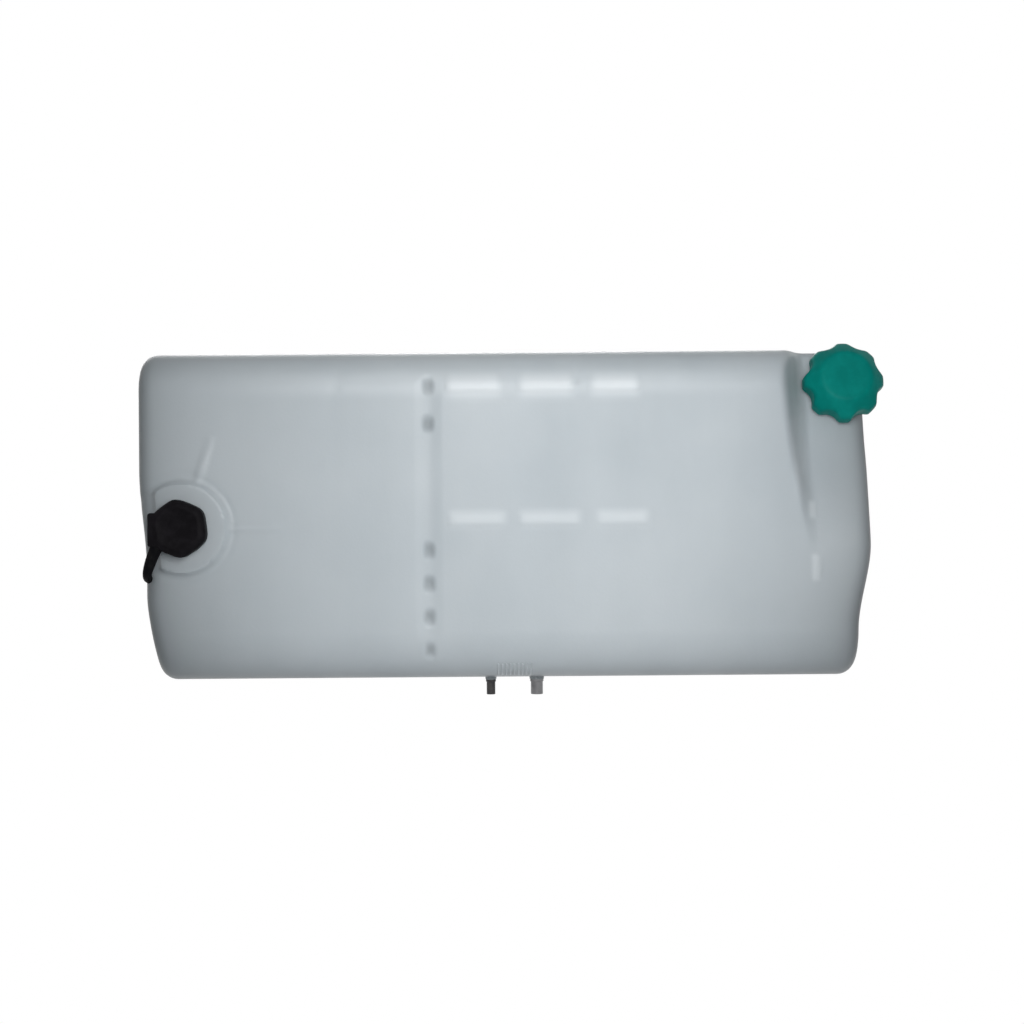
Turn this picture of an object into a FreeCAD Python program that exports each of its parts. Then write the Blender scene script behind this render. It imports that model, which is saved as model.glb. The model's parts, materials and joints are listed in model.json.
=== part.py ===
import FreeCAD
import Part
import Sketcher
import math
import os
import re

# Coolant expansion tank. Millimetres, X to the right, Y to the rear, Z up.
# The origin is the middle of the four rear mounting inserts, on the plane of their faces.

doc = FreeCAD.newDocument("coolant_tank")
sheet = doc.addObject("Spreadsheet::Sheet", "dims")
vec = FreeCAD.Vector
rule = Sketcher.Constraint

sizes = {
    "tank_length": 628,
    "tank_height": 282,
    "tank_depth": 118,
    "wall_thick": 4,
    "end_wall": 9,
    "end_radius": 14,
    "end_bulge": 1300,
    "widest_height": 45,
    "right_bulge": 900,
    "right_widest": 10,
    "top_radius": 32,
    "bottom_radius": 42,
    "rear_radius": 18,
    "mount_standoff": 10,
    "ramp_angle": 14.5,
    "ramp_foot": 72,
    "pocket_width": 58,
    "pocket_draft": 17,
    "pocket_blend": 12,
    "cap_from_end": 23,
    "cap_from_top": 33,
    "neck_radius": 16.5,
    "neck_bore": 13.5,
    "neck_height": 22,
    "neck_flare": 2,
    "kiss_column": 63,
    "kiss_wide": 6,
    "kiss_tall": 10.5,
    "kiss_wall": 4,
    "kiss_web": 2,
    "kiss_top": 109,
    "kiss_top_pitch": 32,
    "kiss_low": 29,
    "kiss_low_pitch": 28,
    "groove_radius": 30,
    "groove_depth": 2,
    "bar_tall": 11,
    "bar_raise": 1.5,
    "bar_upper": 109,
    "bar_lower": 3,
    "mount_span_x": 440,
    "mount_span_z": 170,
    "mount_boss": 14,
    "insert_radius": 6,
    "insert_bore": 3.4,
    "insert_length": 11,
    "sensor_from_end": 47,
    "sensor_drop": 11,
    "boss_radius": 38,
    "boss_rise": 6,
    "rib_length": 42,
    "rib_thick": 6,
    "rib_rise": 3,
    "port_radius": 13.5,
    "collar_wall": 5,
    "collar_depth": 14,
    "seal_thick": 2,
    "seal_width": 6,
    "hex_across": 45,
    "hex_thick": 16,
    "shank_play": 0.3,
    "stem_radius": 9,
    "stem_length": 44,
    "fork_gap": 7,
    "pivot_radius": 1.5,
    "pivot_play": 0.08,
    "eye_radius": 4,
    "eye_play": 0.4,
    "float_radius": 10,
    "float_length": 34,
    "float_reach": 13,
    "float_droop": 24,
    "magnet_radius": 3,
    "magnet_length": 8,
    "reed_radius": 2.2,
    "reed_length": 18,
    "close_play": 0.05,
    "plug_tall": 28,
    "plug_thick": 12,
    "plug_reach": 7,
    "gland_radius": 5.5,
    "gland_reach": 30,
    "gland_angle": 235,
    "lead_radius": 3.5,
    "lead_drop": 52,
    "lead_sunk": 3,
    "lead_play": 0.3,
    "lead_end": 34,
    "plug_radius": 6.5,
    "nest_play": 0.3,
    "nest_wall": 3,
    "plug_length": 32,
    "socket_radius": 5,
    "socket_depth": 14,
    "pin_radius": 0.8,
    "pin_spread": 2.4,
    "pin_show": 8,
    "vent_offset": 13,
    "vent_radius": 3.75,
    "makeup_offset": 27,
    "makeup_radius": 5.25,
    "nipple_wall": 1.25,
    "nipple_reach": 15,
    "nipple_boss": 4,
    "nipple_rise": 14,
    "nipple_step": 0.6,
    "nipple_wide": 5,
    "nipple_floor": 4,
    "pipe_wall": 1.5,
    "pipe_top": 104,
    "cap_radius": 36,
    "cap_lobes": 8,
    "scallop_radius": 13,
    "scallop_depth": 5,
    "cap_top": 4.5,
    "cap_disc": 25,
    "cap_slope": 6,
    "cap_gap": 5,
    "thread_room": 2,
    "sleeve_wall": 2.6,
    "skirt_wall": 3,
    "stud_radius": 4,
    "stud_play": 0.1,
    "bead_rise": 0.9,
    "bead_tall": 2.4,
    "bead_play": 0.3,
    "carrier_play": 0.3,
    "carrier_wall": 1.7,
    "flange_thick": 2.5,
    "flange_play": 0.4,
    "gasket_thick": 2,
    "carrier_foot": 1.5,
    "seat_thick": 4,
    "seat_rise": 0.8,
    "orifice_radius": 7,
    "pad_thick": 2,
    "pad_inset": 0.9,
    "plate_thick": 1.5,
    "plate_play": 1.2,
    "stem_bore": 1.6,
    "poppet_radius": 3.2,
    "poppet_thick": 1.5,
    "poppet_stem": 1.45,
    "poppet_rise": 5.5,
    "poppet_head": 3,
    "wire_radius": 0.9,
    "spring_coils": 4.5,
    "spring_radius": 7.8,
    "small_wire": 0.3,
    "small_coils": 3.5,
    "small_radius": 2.3,
}
for line, (name, value) in enumerate(sizes.items(), 1):
    sheet.set(f"A{line}", name)
    sheet.set(f"B{line}", str(value))
    sheet.setAlias(f"B{line}", name)
doc.recompute()


def size(name):
    return float(sheet.get(name))


def linked(text):
    return re.sub(r"\b([a-z]+(?:_[a-z]+)+)\b", r"dims.\1", text)


def bind(item, path, text):
    item.setExpression(path, linked(text))


def new_body(label):
    body = doc.addObject("PartDesign::Body", label)
    body.Label = label
    return body


def new_sketch(body, name, role, offset="0"):
    sketch = body.newObject("Sketcher::SketchObject", name)
    plane = next(f for f in body.Origin.OriginFeatures if f.Role == role)
    sketch.AttachmentSupport = (plane, [""])
    sketch.MapMode = "FlatFace"
    bind(sketch, "AttachmentOffset.Base.z", offset)
    return sketch


def bound(sketch, constraint, text):
    index = sketch.addConstraint(constraint)
    bind(sketch, f"Constraints[{index}]", text)


def polygon(sketch, corners):
    """Closed polygon whose corners are given as pairs of formulas."""
    count = len(corners)
    spots = []
    for i in range(count):
        turn = 2 * math.pi * i / count
        spots.append(vec(20 + 10 * math.cos(turn), 10 * math.sin(turn), 0))
    first = sketch.GeometryCount
    for i in range(count):
        sketch.addGeometry(Part.LineSegment(spots[i], spots[(i + 1) % count]), False)
    for i in range(count):
        after = first + (i + 1) % count
        sketch.addConstraint(rule("Coincident", first + i, 2, after, 1))
    for i, (across, up) in enumerate(corners):
        bound(sketch, rule("DistanceX", first + i, 1, spots[i].x), across)
        bound(sketch, rule("DistanceY", first + i, 1, spots[i].y), up)


def circle(sketch, radius, across="0", up="0"):
    index = sketch.addGeometry(Part.Circle(vec(1, 1, 0), vec(0, 0, 1), 5), False)
    bound(sketch, rule("Radius", index, 5), radius)
    bound(sketch, rule("DistanceX", index, 3, 1), across)
    bound(sketch, rule("DistanceY", index, 3, 1), up)


def turn_profile(body, name, corners, kind="PartDesign::Revolution"):
    """Revolve a profile of (radius, height) corners about the body's own Z axis."""
    sketch = new_sketch(body, name + "_profile", "XZ_Plane")
    polygon(sketch, corners)
    feature = body.newObject(kind, name)
    feature.Profile = (sketch, [""])
    feature.ReferenceAxis = (sketch, ["V_Axis"])
    feature.Angle = 360
    return feature


def extrude(body, sketch, name, length, kind="PartDesign::Pad", both=False, back=False):
    feature = body.newObject(kind, name)
    feature.Profile = (sketch, [""])
    feature.Midplane = both
    feature.Reversed = back
    bind(feature, "Length", length)
    return feature


def place(item, across="0", back="0", up="0", axis=None, angle="0"):
    if axis is not None:
        item.Placement = FreeCAD.Placement(vec(0, 0, 0), FreeCAD.Rotation(axis, 1))
        bind(item, "Placement.Rotation.Angle", angle)
    bind(item, "Placement.Base.x", across)
    bind(item, "Placement.Base.y", back)
    bind(item, "Placement.Base.z", up)
    return item


front = "(mount_standoff + tank_depth)"
cap_across = "(tank_length / 2 - cap_from_end)"
cap_up = "(tank_height / 2 - cap_from_top)"
cap_back = f"(-{front} + ({cap_up} + ramp_foot) * tan(ramp_angle))"
sensor_across = "(sensor_from_end - tank_length / 2)"
lead_across = "(lead_sunk - tank_length / 2 + (widest_height + lead_drop) * (widest_height + lead_drop) / (2 * end_bulge))"


def in_cap(item, above="0"):
    """Stand an item on the filler ramp, its Z along the cap's axis."""
    up = f"{cap_up} + ({above}) * sin(ramp_angle)"
    back = f"{cap_back} - ({above}) * cos(ramp_angle)"
    return place(item, cap_across, back, up, vec(1, 0, 0), "90 - ramp_angle")


def in_sensor(item, above="0"):
    """Stand an item on the sensor boss, its Z pointing to the front."""
    back = f"-({front} + boss_rise) - ({above})"
    return place(item, sensor_across, back, "-sensor_drop", vec(1, 0, 0), "90")


def cylinder(name, radius, height):
    item = doc.addObject("Part::Cylinder", name)
    bind(item, "Radius", radius)
    bind(item, "Height", height)
    return item


def cone(name, low, high, height):
    item = doc.addObject("Part::Cone", name)
    bind(item, "Radius1", low)
    bind(item, "Radius2", high)
    bind(item, "Height", height)
    return item


def box(name, length, width, height):
    item = doc.addObject("Part::Box", name)
    bind(item, "Length", length)
    bind(item, "Width", width)
    bind(item, "Height", height)
    return item


def fused(name, items):
    item = doc.addObject("Part::MultiFuse", name)
    item.Shapes = items
    return item


def cut(name, base, tool):
    item = doc.addObject("Part::Cut", name)
    item.Base = base
    item.Tool = tool
    return item


def arc(across, up, radius, start, end):
    return Part.ArcOfCircle(Part.Circle(vec(across, up, 0), vec(0, 0, 1), radius), start, end)


def side_profile(body, name, skin):
    """Rounded side view of the tank, moved inwards by skin."""
    sketch = new_sketch(body, name, "YZ_Plane")
    inset = 0 if skin == "0" else size(skin)
    top = size("tank_height") / 2 - inset
    rear = -size("mount_standoff") - inset
    face = -size("mount_standoff") - size("tank_depth") + inset
    over = size("top_radius") - inset
    under = size("bottom_radius") - inset
    back = size("rear_radius") - inset
    right = math.pi / 2
    sketch.addGeometry(Part.LineSegment(vec(rear - back, top, 0), vec(face + over, top, 0)), False)
    sketch.addGeometry(arc(face + over, top - over, over, right, 2 * right), False)
    sketch.addGeometry(Part.LineSegment(vec(face, top - over, 0), vec(face, under - top, 0)), False)
    sketch.addGeometry(arc(face + under, under - top, under, 2 * right, 3 * right), False)
    sketch.addGeometry(Part.LineSegment(vec(face + under, -top, 0), vec(rear - back, -top, 0)), False)
    sketch.addGeometry(arc(rear - back, back - top, back, 3 * right, 4 * right), False)
    sketch.addGeometry(Part.LineSegment(vec(rear, back - top, 0), vec(rear, top - back, 0)), False)
    sketch.addGeometry(arc(rear - back, top - back, back, 0, right), False)
    for i in range(8):
        sketch.addConstraint(rule("Tangent", i, 2, (i + 1) % 8, 1))
    for i in (0, 4):
        sketch.addConstraint(rule("Horizontal", i))
    for i in (2, 6):
        sketch.addConstraint(rule("Vertical", i))
    bound(sketch, rule("DistanceY", 0, 1, top), f"tank_height / 2 - {skin}")
    bound(sketch, rule("DistanceY", 4, 1, -top), f"{skin} - tank_height / 2")
    bound(sketch, rule("DistanceX", 2, 1, face), f"{skin} - {front}")
    bound(sketch, rule("DistanceX", 6, 1, rear), f"-mount_standoff - {skin}")
    bound(sketch, rule("Radius", 1, over), f"top_radius - {skin}")
    bound(sketch, rule("Radius", 3, under), f"bottom_radius - {skin}")
    bound(sketch, rule("Radius", 5, back), f"rear_radius - {skin}")
    bound(sketch, rule("Radius", 7, back), f"rear_radius - {skin}")
    return sketch


def end_trim(body, name, skin):
    """Everything outside the two bulged ends, in the front view."""
    sketch = new_sketch(body, name, "XZ_Plane")
    inset = 0 if skin == "0" else size(skin)
    reach = size("tank_height")
    far = size("tank_length")
    for side, bulge, widest in ((1, "right_bulge", "right_widest"), (-1, "end_bulge", "widest_height")):
        bow = size(bulge) - inset
        middle = size(bulge) - size("tank_length") / 2
        level = size(widest)
        low = math.asin((-reach - level) / bow)
        high = math.asin((reach - level) / bow)
        lower = side * (bow * math.cos(low) - middle)
        upper = side * (bow * math.cos(high) - middle)
        start, end = (low, high) if side > 0 else (math.pi - high, math.pi - low)
        last, begin = (2, 1) if side > 0 else (1, 2)
        first = sketch.addGeometry(arc(-side * middle, level, bow, start, end), False)
        sketch.addGeometry(Part.LineSegment(vec(upper, reach, 0), vec(side * far, reach, 0)), False)
        sketch.addGeometry(Part.LineSegment(vec(side * far, reach, 0), vec(side * far, -reach, 0)), False)
        sketch.addGeometry(Part.LineSegment(vec(side * far, -reach, 0), vec(lower, -reach, 0)), False)
        sketch.addConstraint(rule("Coincident", first, last, first + 1, 1))
        sketch.addConstraint(rule("Coincident", first + 1, 2, first + 2, 1))
        sketch.addConstraint(rule("Coincident", first + 2, 2, first + 3, 1))
        sketch.addConstraint(rule("Coincident", first + 3, 2, first, begin))
        sketch.addConstraint(rule("Horizontal", first + 1))
        sketch.addConstraint(rule("Vertical", first + 2))
        sketch.addConstraint(rule("Horizontal", first + 3))
        bound(sketch, rule("Radius", first, bow), f"{bulge} - {skin}")
        bound(sketch, rule("DistanceX", first, 3, -side * middle), f"{-side} * ({bulge} - tank_length / 2)")
        bound(sketch, rule("DistanceY", first, 3, level), widest)
        bound(sketch, rule("DistanceX", first + 2, 1, side * far), f"{side} * tank_length")
        bound(sketch, rule("DistanceY", first + 1, 1, reach), "tank_height")
        bound(sketch, rule("DistanceY", first + 3, 1, -reach), "-tank_height")
    return sketch


def moulding(label, skin, end_skin):
    """Tank form: the side view drawn out along X and closed by bulged ends."""
    body = new_body(label)
    sketch = side_profile(body, label + "_side", skin)
    extrude(body, sketch, label + "_run", "tank_length * 1.5", both=True)
    trim = end_trim(body, label + "_ends", end_skin)
    pocket = extrude(body, trim, label + "_trim", "tank_depth * 4", "PartDesign::Pocket", both=True)
    doc.recompute()
    return body, pocket


def end_edges(shape):
    limit = shape.BoundBox.XMax * 0.8
    found = []
    for number, edge in enumerate(shape.Edges, 1):
        if abs(edge.CenterOfMass.x) > limit and edge.BoundBox.XLength < limit / 4:
            found.append(f"Edge{number}")
    return found


def ramp_cutter(label, skin):
    """Wedge that is taken off the right-hand end for the filler, with a drafted left wall."""
    body = new_body(label)
    sketch = new_sketch(body, label + "_section", "XY_Plane")
    lean = "(tank_depth * 2) * tan(pocket_draft)"
    polygon(sketch, [
        (f"tank_length / 2 - pocket_width - {skin}", skin),
        (f"tank_length / 2 - pocket_width - {skin} - {lean}", "-tank_depth * 2"),
        ("tank_length", "-tank_depth * 2"),
        ("tank_length", skin),
    ])
    run = extrude(body, sketch, label + "_run", "tank_height * 4", both=True)
    doc.recompute()
    root = size("tank_length") / 2 - size("pocket_width") - (0 if skin == "0" else size(skin))
    crease = []
    for number, edge in enumerate(run.Shape.Edges, 1):
        if edge.BoundBox.ZLength > 1 and abs(edge.CenterOfMass.x - root) < 0.01:
            crease.append(f"Edge{number}")
    blend = body.newObject("PartDesign::Fillet", label + "_blend")
    blend.Base = (run, crease)
    bind(blend, "Radius", f"pocket_blend + {skin}")
    return place(body, "0", f"-{front}", "-ramp_foot", vec(1, 0, 0), "-ramp_angle")


# Route of the sensor lead, from its gland round the left end to its plug
way_x = -size("tank_length") / 2 + size("lead_sunk")
way_x += (size("widest_height") + size("lead_drop")) ** 2 / (2 * size("end_bulge"))
head_x = size("sensor_from_end") - size("tank_length") / 2
head_y = -size("mount_standoff") - size("tank_depth") - size("boss_rise")
head_y -= size("seal_thick") + size("hex_thick") / 2
heading = math.radians(size("gland_angle"))
exit_point = vec(head_x + size("gland_reach") * math.cos(heading), head_y,
                 -size("sensor_drop") + size("gland_reach") * math.sin(heading))
corner_a = exit_point + vec(math.cos(heading), 0, math.sin(heading)) * 11
corner_b = vec(way_x, -size("mount_standoff") - size("tank_depth") + 1, -size("lead_drop"))
route = [exit_point, corner_a, corner_b, vec(way_x, -size("lead_end"), -size("lead_drop"))]


def bent_wire(points):
    """Straight runs joined by tangent arcs."""
    edges = []
    begin = points[0]
    for before, point, after in zip(points, points[1:], points[2:]):
        back = (before - point)
        on = (after - point)
        span = 0.45 * min(back.Length, on.Length)
        back.normalize()
        on.normalize()
        half = back.getAngle(on) / 2
        radius = span * math.tan(half)
        near = point + back * span
        far = point + on * span
        inward = (back + on).normalize()
        middle = point + inward * (span / math.cos(half) - radius)
        edges.append(Part.LineSegment(begin, near).toShape())
        edges.append(Part.Arc(near, middle, far).toShape())
        print("lead bend radius", round(radius, 1))
        begin = far
    edges.append(Part.LineSegment(begin, points[-1]).toShape())
    return Part.Wire(edges)


def lead_section(skin):
    """Eight-sided outline of the lead at its gland, made larger by skin."""
    along = (route[1] - route[0]).normalize()
    level_line = vec(0, 1, 0)
    upright = along.cross(level_line)
    radius = size("lead_radius") + (0 if skin == "0" else size(skin))
    rim = []
    for i in range(9):
        turn = math.pi / 4 * i
        rim.append(route[0] + (level_line * math.cos(turn) + upright * math.sin(turn)) * radius)
    return Part.makePolygon(rim)


lead_path = bent_wire(route)


# The blown tank: outer form
outer, ends = moulding("tank_form", "0", "0")
round_off = outer.newObject("PartDesign::Fillet", "tank_form_round")
round_off.Base = (ends, end_edges(ends.Shape))
bind(round_off, "Radius", "end_radius")
ramped = cut("tank_ramped", outer, ramp_cutter("ramp_cutter", "0"))

neck = new_body("filler_neck")
turn_profile(neck, "filler_neck_turn", [
    ("0", "-wall_thick / 2"),
    ("neck_radius + neck_flare + wall_thick / 2", "-wall_thick / 2"),
    ("neck_radius", "neck_flare"),
    ("neck_radius", "neck_height"),
    ("0", "neck_height"),
])
in_cap(neck)

boss = cylinder("sensor_boss", "boss_radius", "boss_rise + top_radius")
in_sensor(boss, "-(boss_rise + top_radius)")

ribs = []
for number, turn in enumerate((0, 72)):
    rib = box(f"boss_rib_{number}", "boss_radius + rib_length", "rib_thick", "rib_rise + wall_thick / 2")
    offset = FreeCAD.Rotation(vec(0, 0, 1), turn).multVec(vec(0, -0.5, 0))
    rib.Placement.Rotation = FreeCAD.Rotation(vec(1, 0, 0), 90) * FreeCAD.Rotation(vec(0, 0, 1), turn)
    place(rib, f"{sensor_across} + {offset.x:.6f} * rib_thick", f"wall_thick / 2 - {front}",
          f"-sensor_drop + {offset.y:.6f} * rib_thick")
    ribs.append(rib)

bars = []
bar_rows = (
    ("upper", "bar_upper", ((-48, 46), (13, 46), (73, 41))),
    ("lower", "-bar_lower", ((-46, 46), (13, 50), (78, 42))),
)
for row, level, spans in bar_rows:
    for number, (start, length) in enumerate(spans):
        bar = box(f"level_bar_{row}_{number}", str(length), "bar_raise + wall_thick / 2", "bar_tall")
        place(bar, str(start), f"-{front} - bar_raise", f"{level} - bar_tall / 2")
        bars.append(bar)

mount_spots = []
for side in (-1, 1):
    for level in (-1, 1):
        mount_spots.append((f"{side} * mount_span_x / 2", f"{level} * mount_span_z / 2"))
mount_bosses = []
for number, (across, up) in enumerate(mount_spots):
    stand = cylinder(f"mount_boss_{number}", "mount_boss", "mount_standoff + wall_thick / 2")
    mount_bosses.append(place(stand, across, "0", up, vec(1, 0, 0), "90"))

nipple_bosses = []
nipples = (("vent", "-vent_offset", "vent_radius"), ("makeup", "makeup_offset", "makeup_radius"))
middle_back = "(-mount_standoff - tank_depth / 2)"
for name, across, radius in nipples:
    stand = cylinder(f"{name}_boss", f"{radius} + nipple_wide", "nipple_boss + wall_thick / 2")
    nipple_bosses.append(place(stand, across, middle_back, "-tank_height / 2 - nipple_boss"))

outside = fused("tank_outside", [ramped, neck, boss] + ribs + bars + mount_bosses + nipple_bosses)

# The hollow inside, one wall in from the form
hollow, hollow_ends = moulding("tank_hollow", "wall_thick", "end_wall")
stops = [ramp_cutter("ramp_stop", "wall_thick")]

groove_middle = f"-{front} - groove_radius + groove_depth"
groove = cylinder("column_groove", "groove_radius", "tank_height * 1.2")
place(groove, "-kiss_column", groove_middle, "-tank_height * 0.6")

kiss_levels = ["kiss_top", "kiss_top - kiss_top_pitch"]
kiss_levels += [f"-kiss_low - {step} * kiss_low_pitch" for step in range(4)]
kiss_cuts = []
for number, level in enumerate(kiss_levels):
    post = box(f"kiss_post_{number}", "kiss_wide + 2 * kiss_wall", "tank_depth", "kiss_tall + 2 * kiss_wall")
    stops.append(place(post, "-kiss_column - kiss_wide / 2 - kiss_wall", f"-{front}",
                       f"{level} - kiss_tall / 2 - kiss_wall"))
    dimple = box(f"kiss_dimple_{number}", "kiss_wide", "tank_depth - wall_thick - kiss_web", "kiss_tall")
    kiss_cuts.append(place(dimple, "-kiss_column - kiss_wide / 2", f"-{front}", f"{level} - kiss_tall / 2"))

for name, across, radius in nipples:
    floor = cylinder(f"{name}_floor", f"{radius} + nipple_wide", "nipple_boss + wall_thick + nipple_floor")
    stops.append(place(floor, across, middle_back, "-tank_height / 2 - nipple_boss"))
collar = cylinder("port_collar", "port_radius + collar_wall", "collar_depth + boss_rise")
stops.append(in_sensor(collar, "-collar_depth - boss_rise"))
nest_back = "plug_length - lead_end + nest_play"
hood = cylinder("nest_hood", "plug_radius + nest_play + nest_wall", "plug_length + nest_play + nest_wall")
stops.append(place(hood, lead_across, nest_back, "-lead_drop", vec(1, 0, 0), "90"))
inside = cut("tank_inside", hollow, fused("inside_stops", stops))

# Openings through the wall
bores = [groove] + kiss_cuts
bore = cylinder("filler_bore", "neck_bore", "neck_height + wall_thick * 6")
bores.append(in_cap(bore, "-wall_thick * 5"))
port = cylinder("sensor_port", "port_radius", "collar_depth + boss_rise * 3")
bores.append(in_sensor(port, "-collar_depth - boss_rise * 2"))
for number, (across, up) in enumerate(mount_spots):
    seat = cylinder(f"insert_seat_{number}", "insert_radius", "insert_length")
    bores.append(place(seat, across, "0", up, vec(1, 0, 0), "90"))
for name, across, radius in nipples:
    hole = cylinder(f"{name}_hole", f"{radius} + nipple_step + close_play", "nipple_boss + wall_thick + nipple_floor")
    bores.append(place(hole, across, middle_back, "-tank_height / 2 - nipple_boss"))
channel = doc.addObject("Part::Feature", "lead_channel")
channel.Shape = lead_path.makePipeShell([lead_section("lead_play")], True, False, 0)
bores.append(channel)
nest = cylinder("plug_nest", "plug_radius + nest_play", "plug_length + nest_play")
bores.append(place(nest, lead_across, nest_back, "-lead_drop", vec(1, 0, 0), "90"))

hollowed = cut("tank_hollowed", outside, inside)
tank = cut("tank_body", hollowed, fused("tank_bores", bores))

# Threaded inserts in the rear bosses
bushes = []
for number, (across, up) in enumerate(mount_spots):
    bush = cut(f"insert_{number}", cylinder(f"bush_{number}", "insert_radius - close_play", "insert_length"),
               cylinder(f"bush_bore_{number}", "insert_bore", "insert_length"))
    bushes.append(place(bush, across, "0", up, vec(1, 0, 0), "90"))
inserts = doc.addObject("Part::Compound", "mounting_inserts")
inserts.Links = bushes

# Hose nipples under the tank, and the standpipe inside
seat_level = "(wall_thick + nipple_floor - tank_height / 2)"
for name, across, radius in nipples:
    nipple = new_body(f"{name}_nipple")
    turn_profile(nipple, f"{name}_nipple_turn", [
        (f"{radius} - nipple_wall", "-tank_height / 2 - nipple_reach"),
        (radius, "-tank_height / 2 - nipple_reach"),
        (radius, "-tank_height / 2 - nipple_boss"),
        (f"{radius} + nipple_step", "-tank_height / 2 - nipple_boss"),
        (f"{radius} + nipple_step", seat_level),
        (radius, seat_level),
        (radius, f"{seat_level} + nipple_rise"),
        (f"{radius} - nipple_wall", f"{seat_level} + nipple_rise"),
    ])
    place(nipple, across, middle_back)
pipe = new_body("vent_standpipe")
turn_profile(pipe, "vent_standpipe_turn", [
    ("vent_radius + close_play", seat_level),
    ("vent_radius + pipe_wall", seat_level),
    ("vent_radius + pipe_wall", "pipe_top"),
    ("vent_radius + close_play", "pipe_top"),
])
place(pipe, "-vent_offset", middle_back)

# Screw cap: lobed grip, threaded sleeve and the stud that carries the valve insert
flange_low = "(neck_height + gasket_thick)"
ceiling = f"({flange_low} + flange_thick + flange_play)"
cap_high = f"({ceiling} + cap_top)"
sleeve_bore = "(neck_radius + thread_room)"
valley = "(cap_radius - scallop_depth)"
cap = new_body("cap_shell")
turn_profile(cap, "cap_blank", [
    ("0", cap_high),
    ("cap_disc", cap_high),
    ("cap_radius", f"{cap_high} - cap_slope"),
    ("cap_radius", "cap_gap"),
    (sleeve_bore, "cap_gap"),
    (sleeve_bore, ceiling),
    ("stud_radius", ceiling),
    ("stud_radius", f"{flange_low} - bead_play"),
    ("stud_radius + bead_rise", f"{flange_low} - bead_play"),
    ("stud_radius + bead_rise", f"{flange_low} - bead_play - bead_tall"),
    ("0", f"{flange_low} - bead_play - bead_tall"),
])
scallop = new_sketch(cap, "cap_scallop_outline", "XY_Plane")
circle(scallop, "scallop_radius", f"{valley} + scallop_radius")
scoop = extrude(cap, scallop, "cap_scallop", "cap_radius * 4", "PartDesign::Pocket", both=True)
doc.recompute()
lobes = cap.newObject("PartDesign::PolarPattern", "cap_lobes_round")
lobes.Originals = [scoop]
lobes.Axis = (scallop, ["N_Axis"])
lobes.Angle = 360
bind(lobes, "Occurrences", "cap_lobes")
cap.Tip = lobes
doc.recompute()
turn_profile(cap, "cap_hollow", [
    (f"{sleeve_bore} + sleeve_wall", "cap_gap - 1"),
    (f"{valley} - skirt_wall", "cap_gap - 1"),
    (f"{valley} - skirt_wall", f"{cap_high} - cap_slope - 6"),
    (f"{sleeve_bore} + sleeve_wall", f"{cap_high} - cap_slope - 6"),
], "PartDesign::Groove")
in_cap(cap)

tube = "(neck_bore - carrier_play)"
tube_in = f"({tube} - carrier_wall)"
flange_edge = f"({sleeve_bore} - flange_play)"
carrier = new_body("valve_carrier")
turn_profile(carrier, "valve_carrier_turn", [
    ("stud_radius + stud_play", flange_low),
    (tube_in, flange_low),
    (tube_in, "-carrier_foot"),
    (tube, "-carrier_foot"),
    (tube, flange_low),
    (flange_edge, flange_low),
    (flange_edge, f"{flange_low} + flange_thick"),
    ("stud_radius + stud_play", f"{flange_low} + flange_thick"),
])
in_cap(carrier)

gasket = new_body("cap_gasket")
turn_profile(gasket, "cap_gasket_turn", [
    (f"{tube} + close_play", "neck_height + close_play"),
    ("neck_radius", "neck_height + close_play"),
    ("neck_radius", flange_low),
    (f"{tube} + close_play", flange_low),
])
in_cap(gasket)

seat_top = "(seat_thick + seat_rise)"
seat_ring = new_body("valve_seat")
turn_profile(seat_ring, "valve_seat_turn", [
    ("orifice_radius", "0"),
    (f"{tube_in} - close_play", "0"),
    (f"{tube_in} - close_play", seat_top),
    ("orifice_radius", seat_top),
])
in_cap(seat_ring)

pad_top = f"({seat_top} + pad_thick)"
plate_top = f"({pad_top} + plate_thick)"
plate_edge = f"({tube_in} - plate_play)"
pad_ring = new_body("pressure_seal")
turn_profile(pad_ring, "pressure_seal_turn", [
    ("poppet_radius + pad_inset", seat_top),
    (f"{plate_edge} - pad_inset", seat_top),
    (f"{plate_edge} - pad_inset", pad_top),
    ("poppet_radius + pad_inset", pad_top),
])
in_cap(pad_ring)
plate = new_body("pressure_plate")
turn_profile(plate, "pressure_plate_turn", [
    ("stem_bore", pad_top),
    (plate_edge, pad_top),
    (plate_edge, plate_top),
    ("stem_bore", plate_top),
])
in_cap(plate)
poppet = new_body("vacuum_valve")
turn_profile(poppet, "vacuum_valve_turn", [
    ("0", f"{pad_top} - poppet_thick"),
    ("poppet_radius", f"{pad_top} - poppet_thick"),
    ("poppet_radius", pad_top),
    ("poppet_stem", pad_top),
    ("poppet_stem", f"{plate_top} + poppet_rise"),
    ("poppet_head", f"{plate_top} + poppet_rise"),
    ("poppet_head", f"{plate_top} + poppet_rise + 1"),
    ("0", f"{plate_top} + poppet_rise + 1"),
])
in_cap(poppet)


def coil_spring(label, radius, wire, coils, low, high):
    """Coil of straight chords between two seats, its wire six-sided."""
    chords = 9
    count = int(coils * chords)
    rise = (high - low - 2 * wire) / count
    points = []
    for i in range(count + 1):
        turn = 2 * math.pi * i / chords
        points.append(vec(radius * math.cos(turn), radius * math.sin(turn), low + wire + rise * i))
    start = (points[1] - points[0]).normalize()
    outward = start.cross(vec(0, 0, 1)).normalize()
    upward = outward.cross(start).normalize()
    corners = []
    for i in range(7):
        turn = math.pi / 3 * i
        corners.append(points[0] + outward * (wire * math.cos(turn)) + upward * (wire * math.sin(turn)))
    section = Part.makePolygon(corners)
    spring = doc.addObject("Part::Feature", label)
    spring.Shape = Part.Wire(Part.makePolygon(points)).makePipeShell([section], True, False, 1)
    return in_cap(spring)


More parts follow.
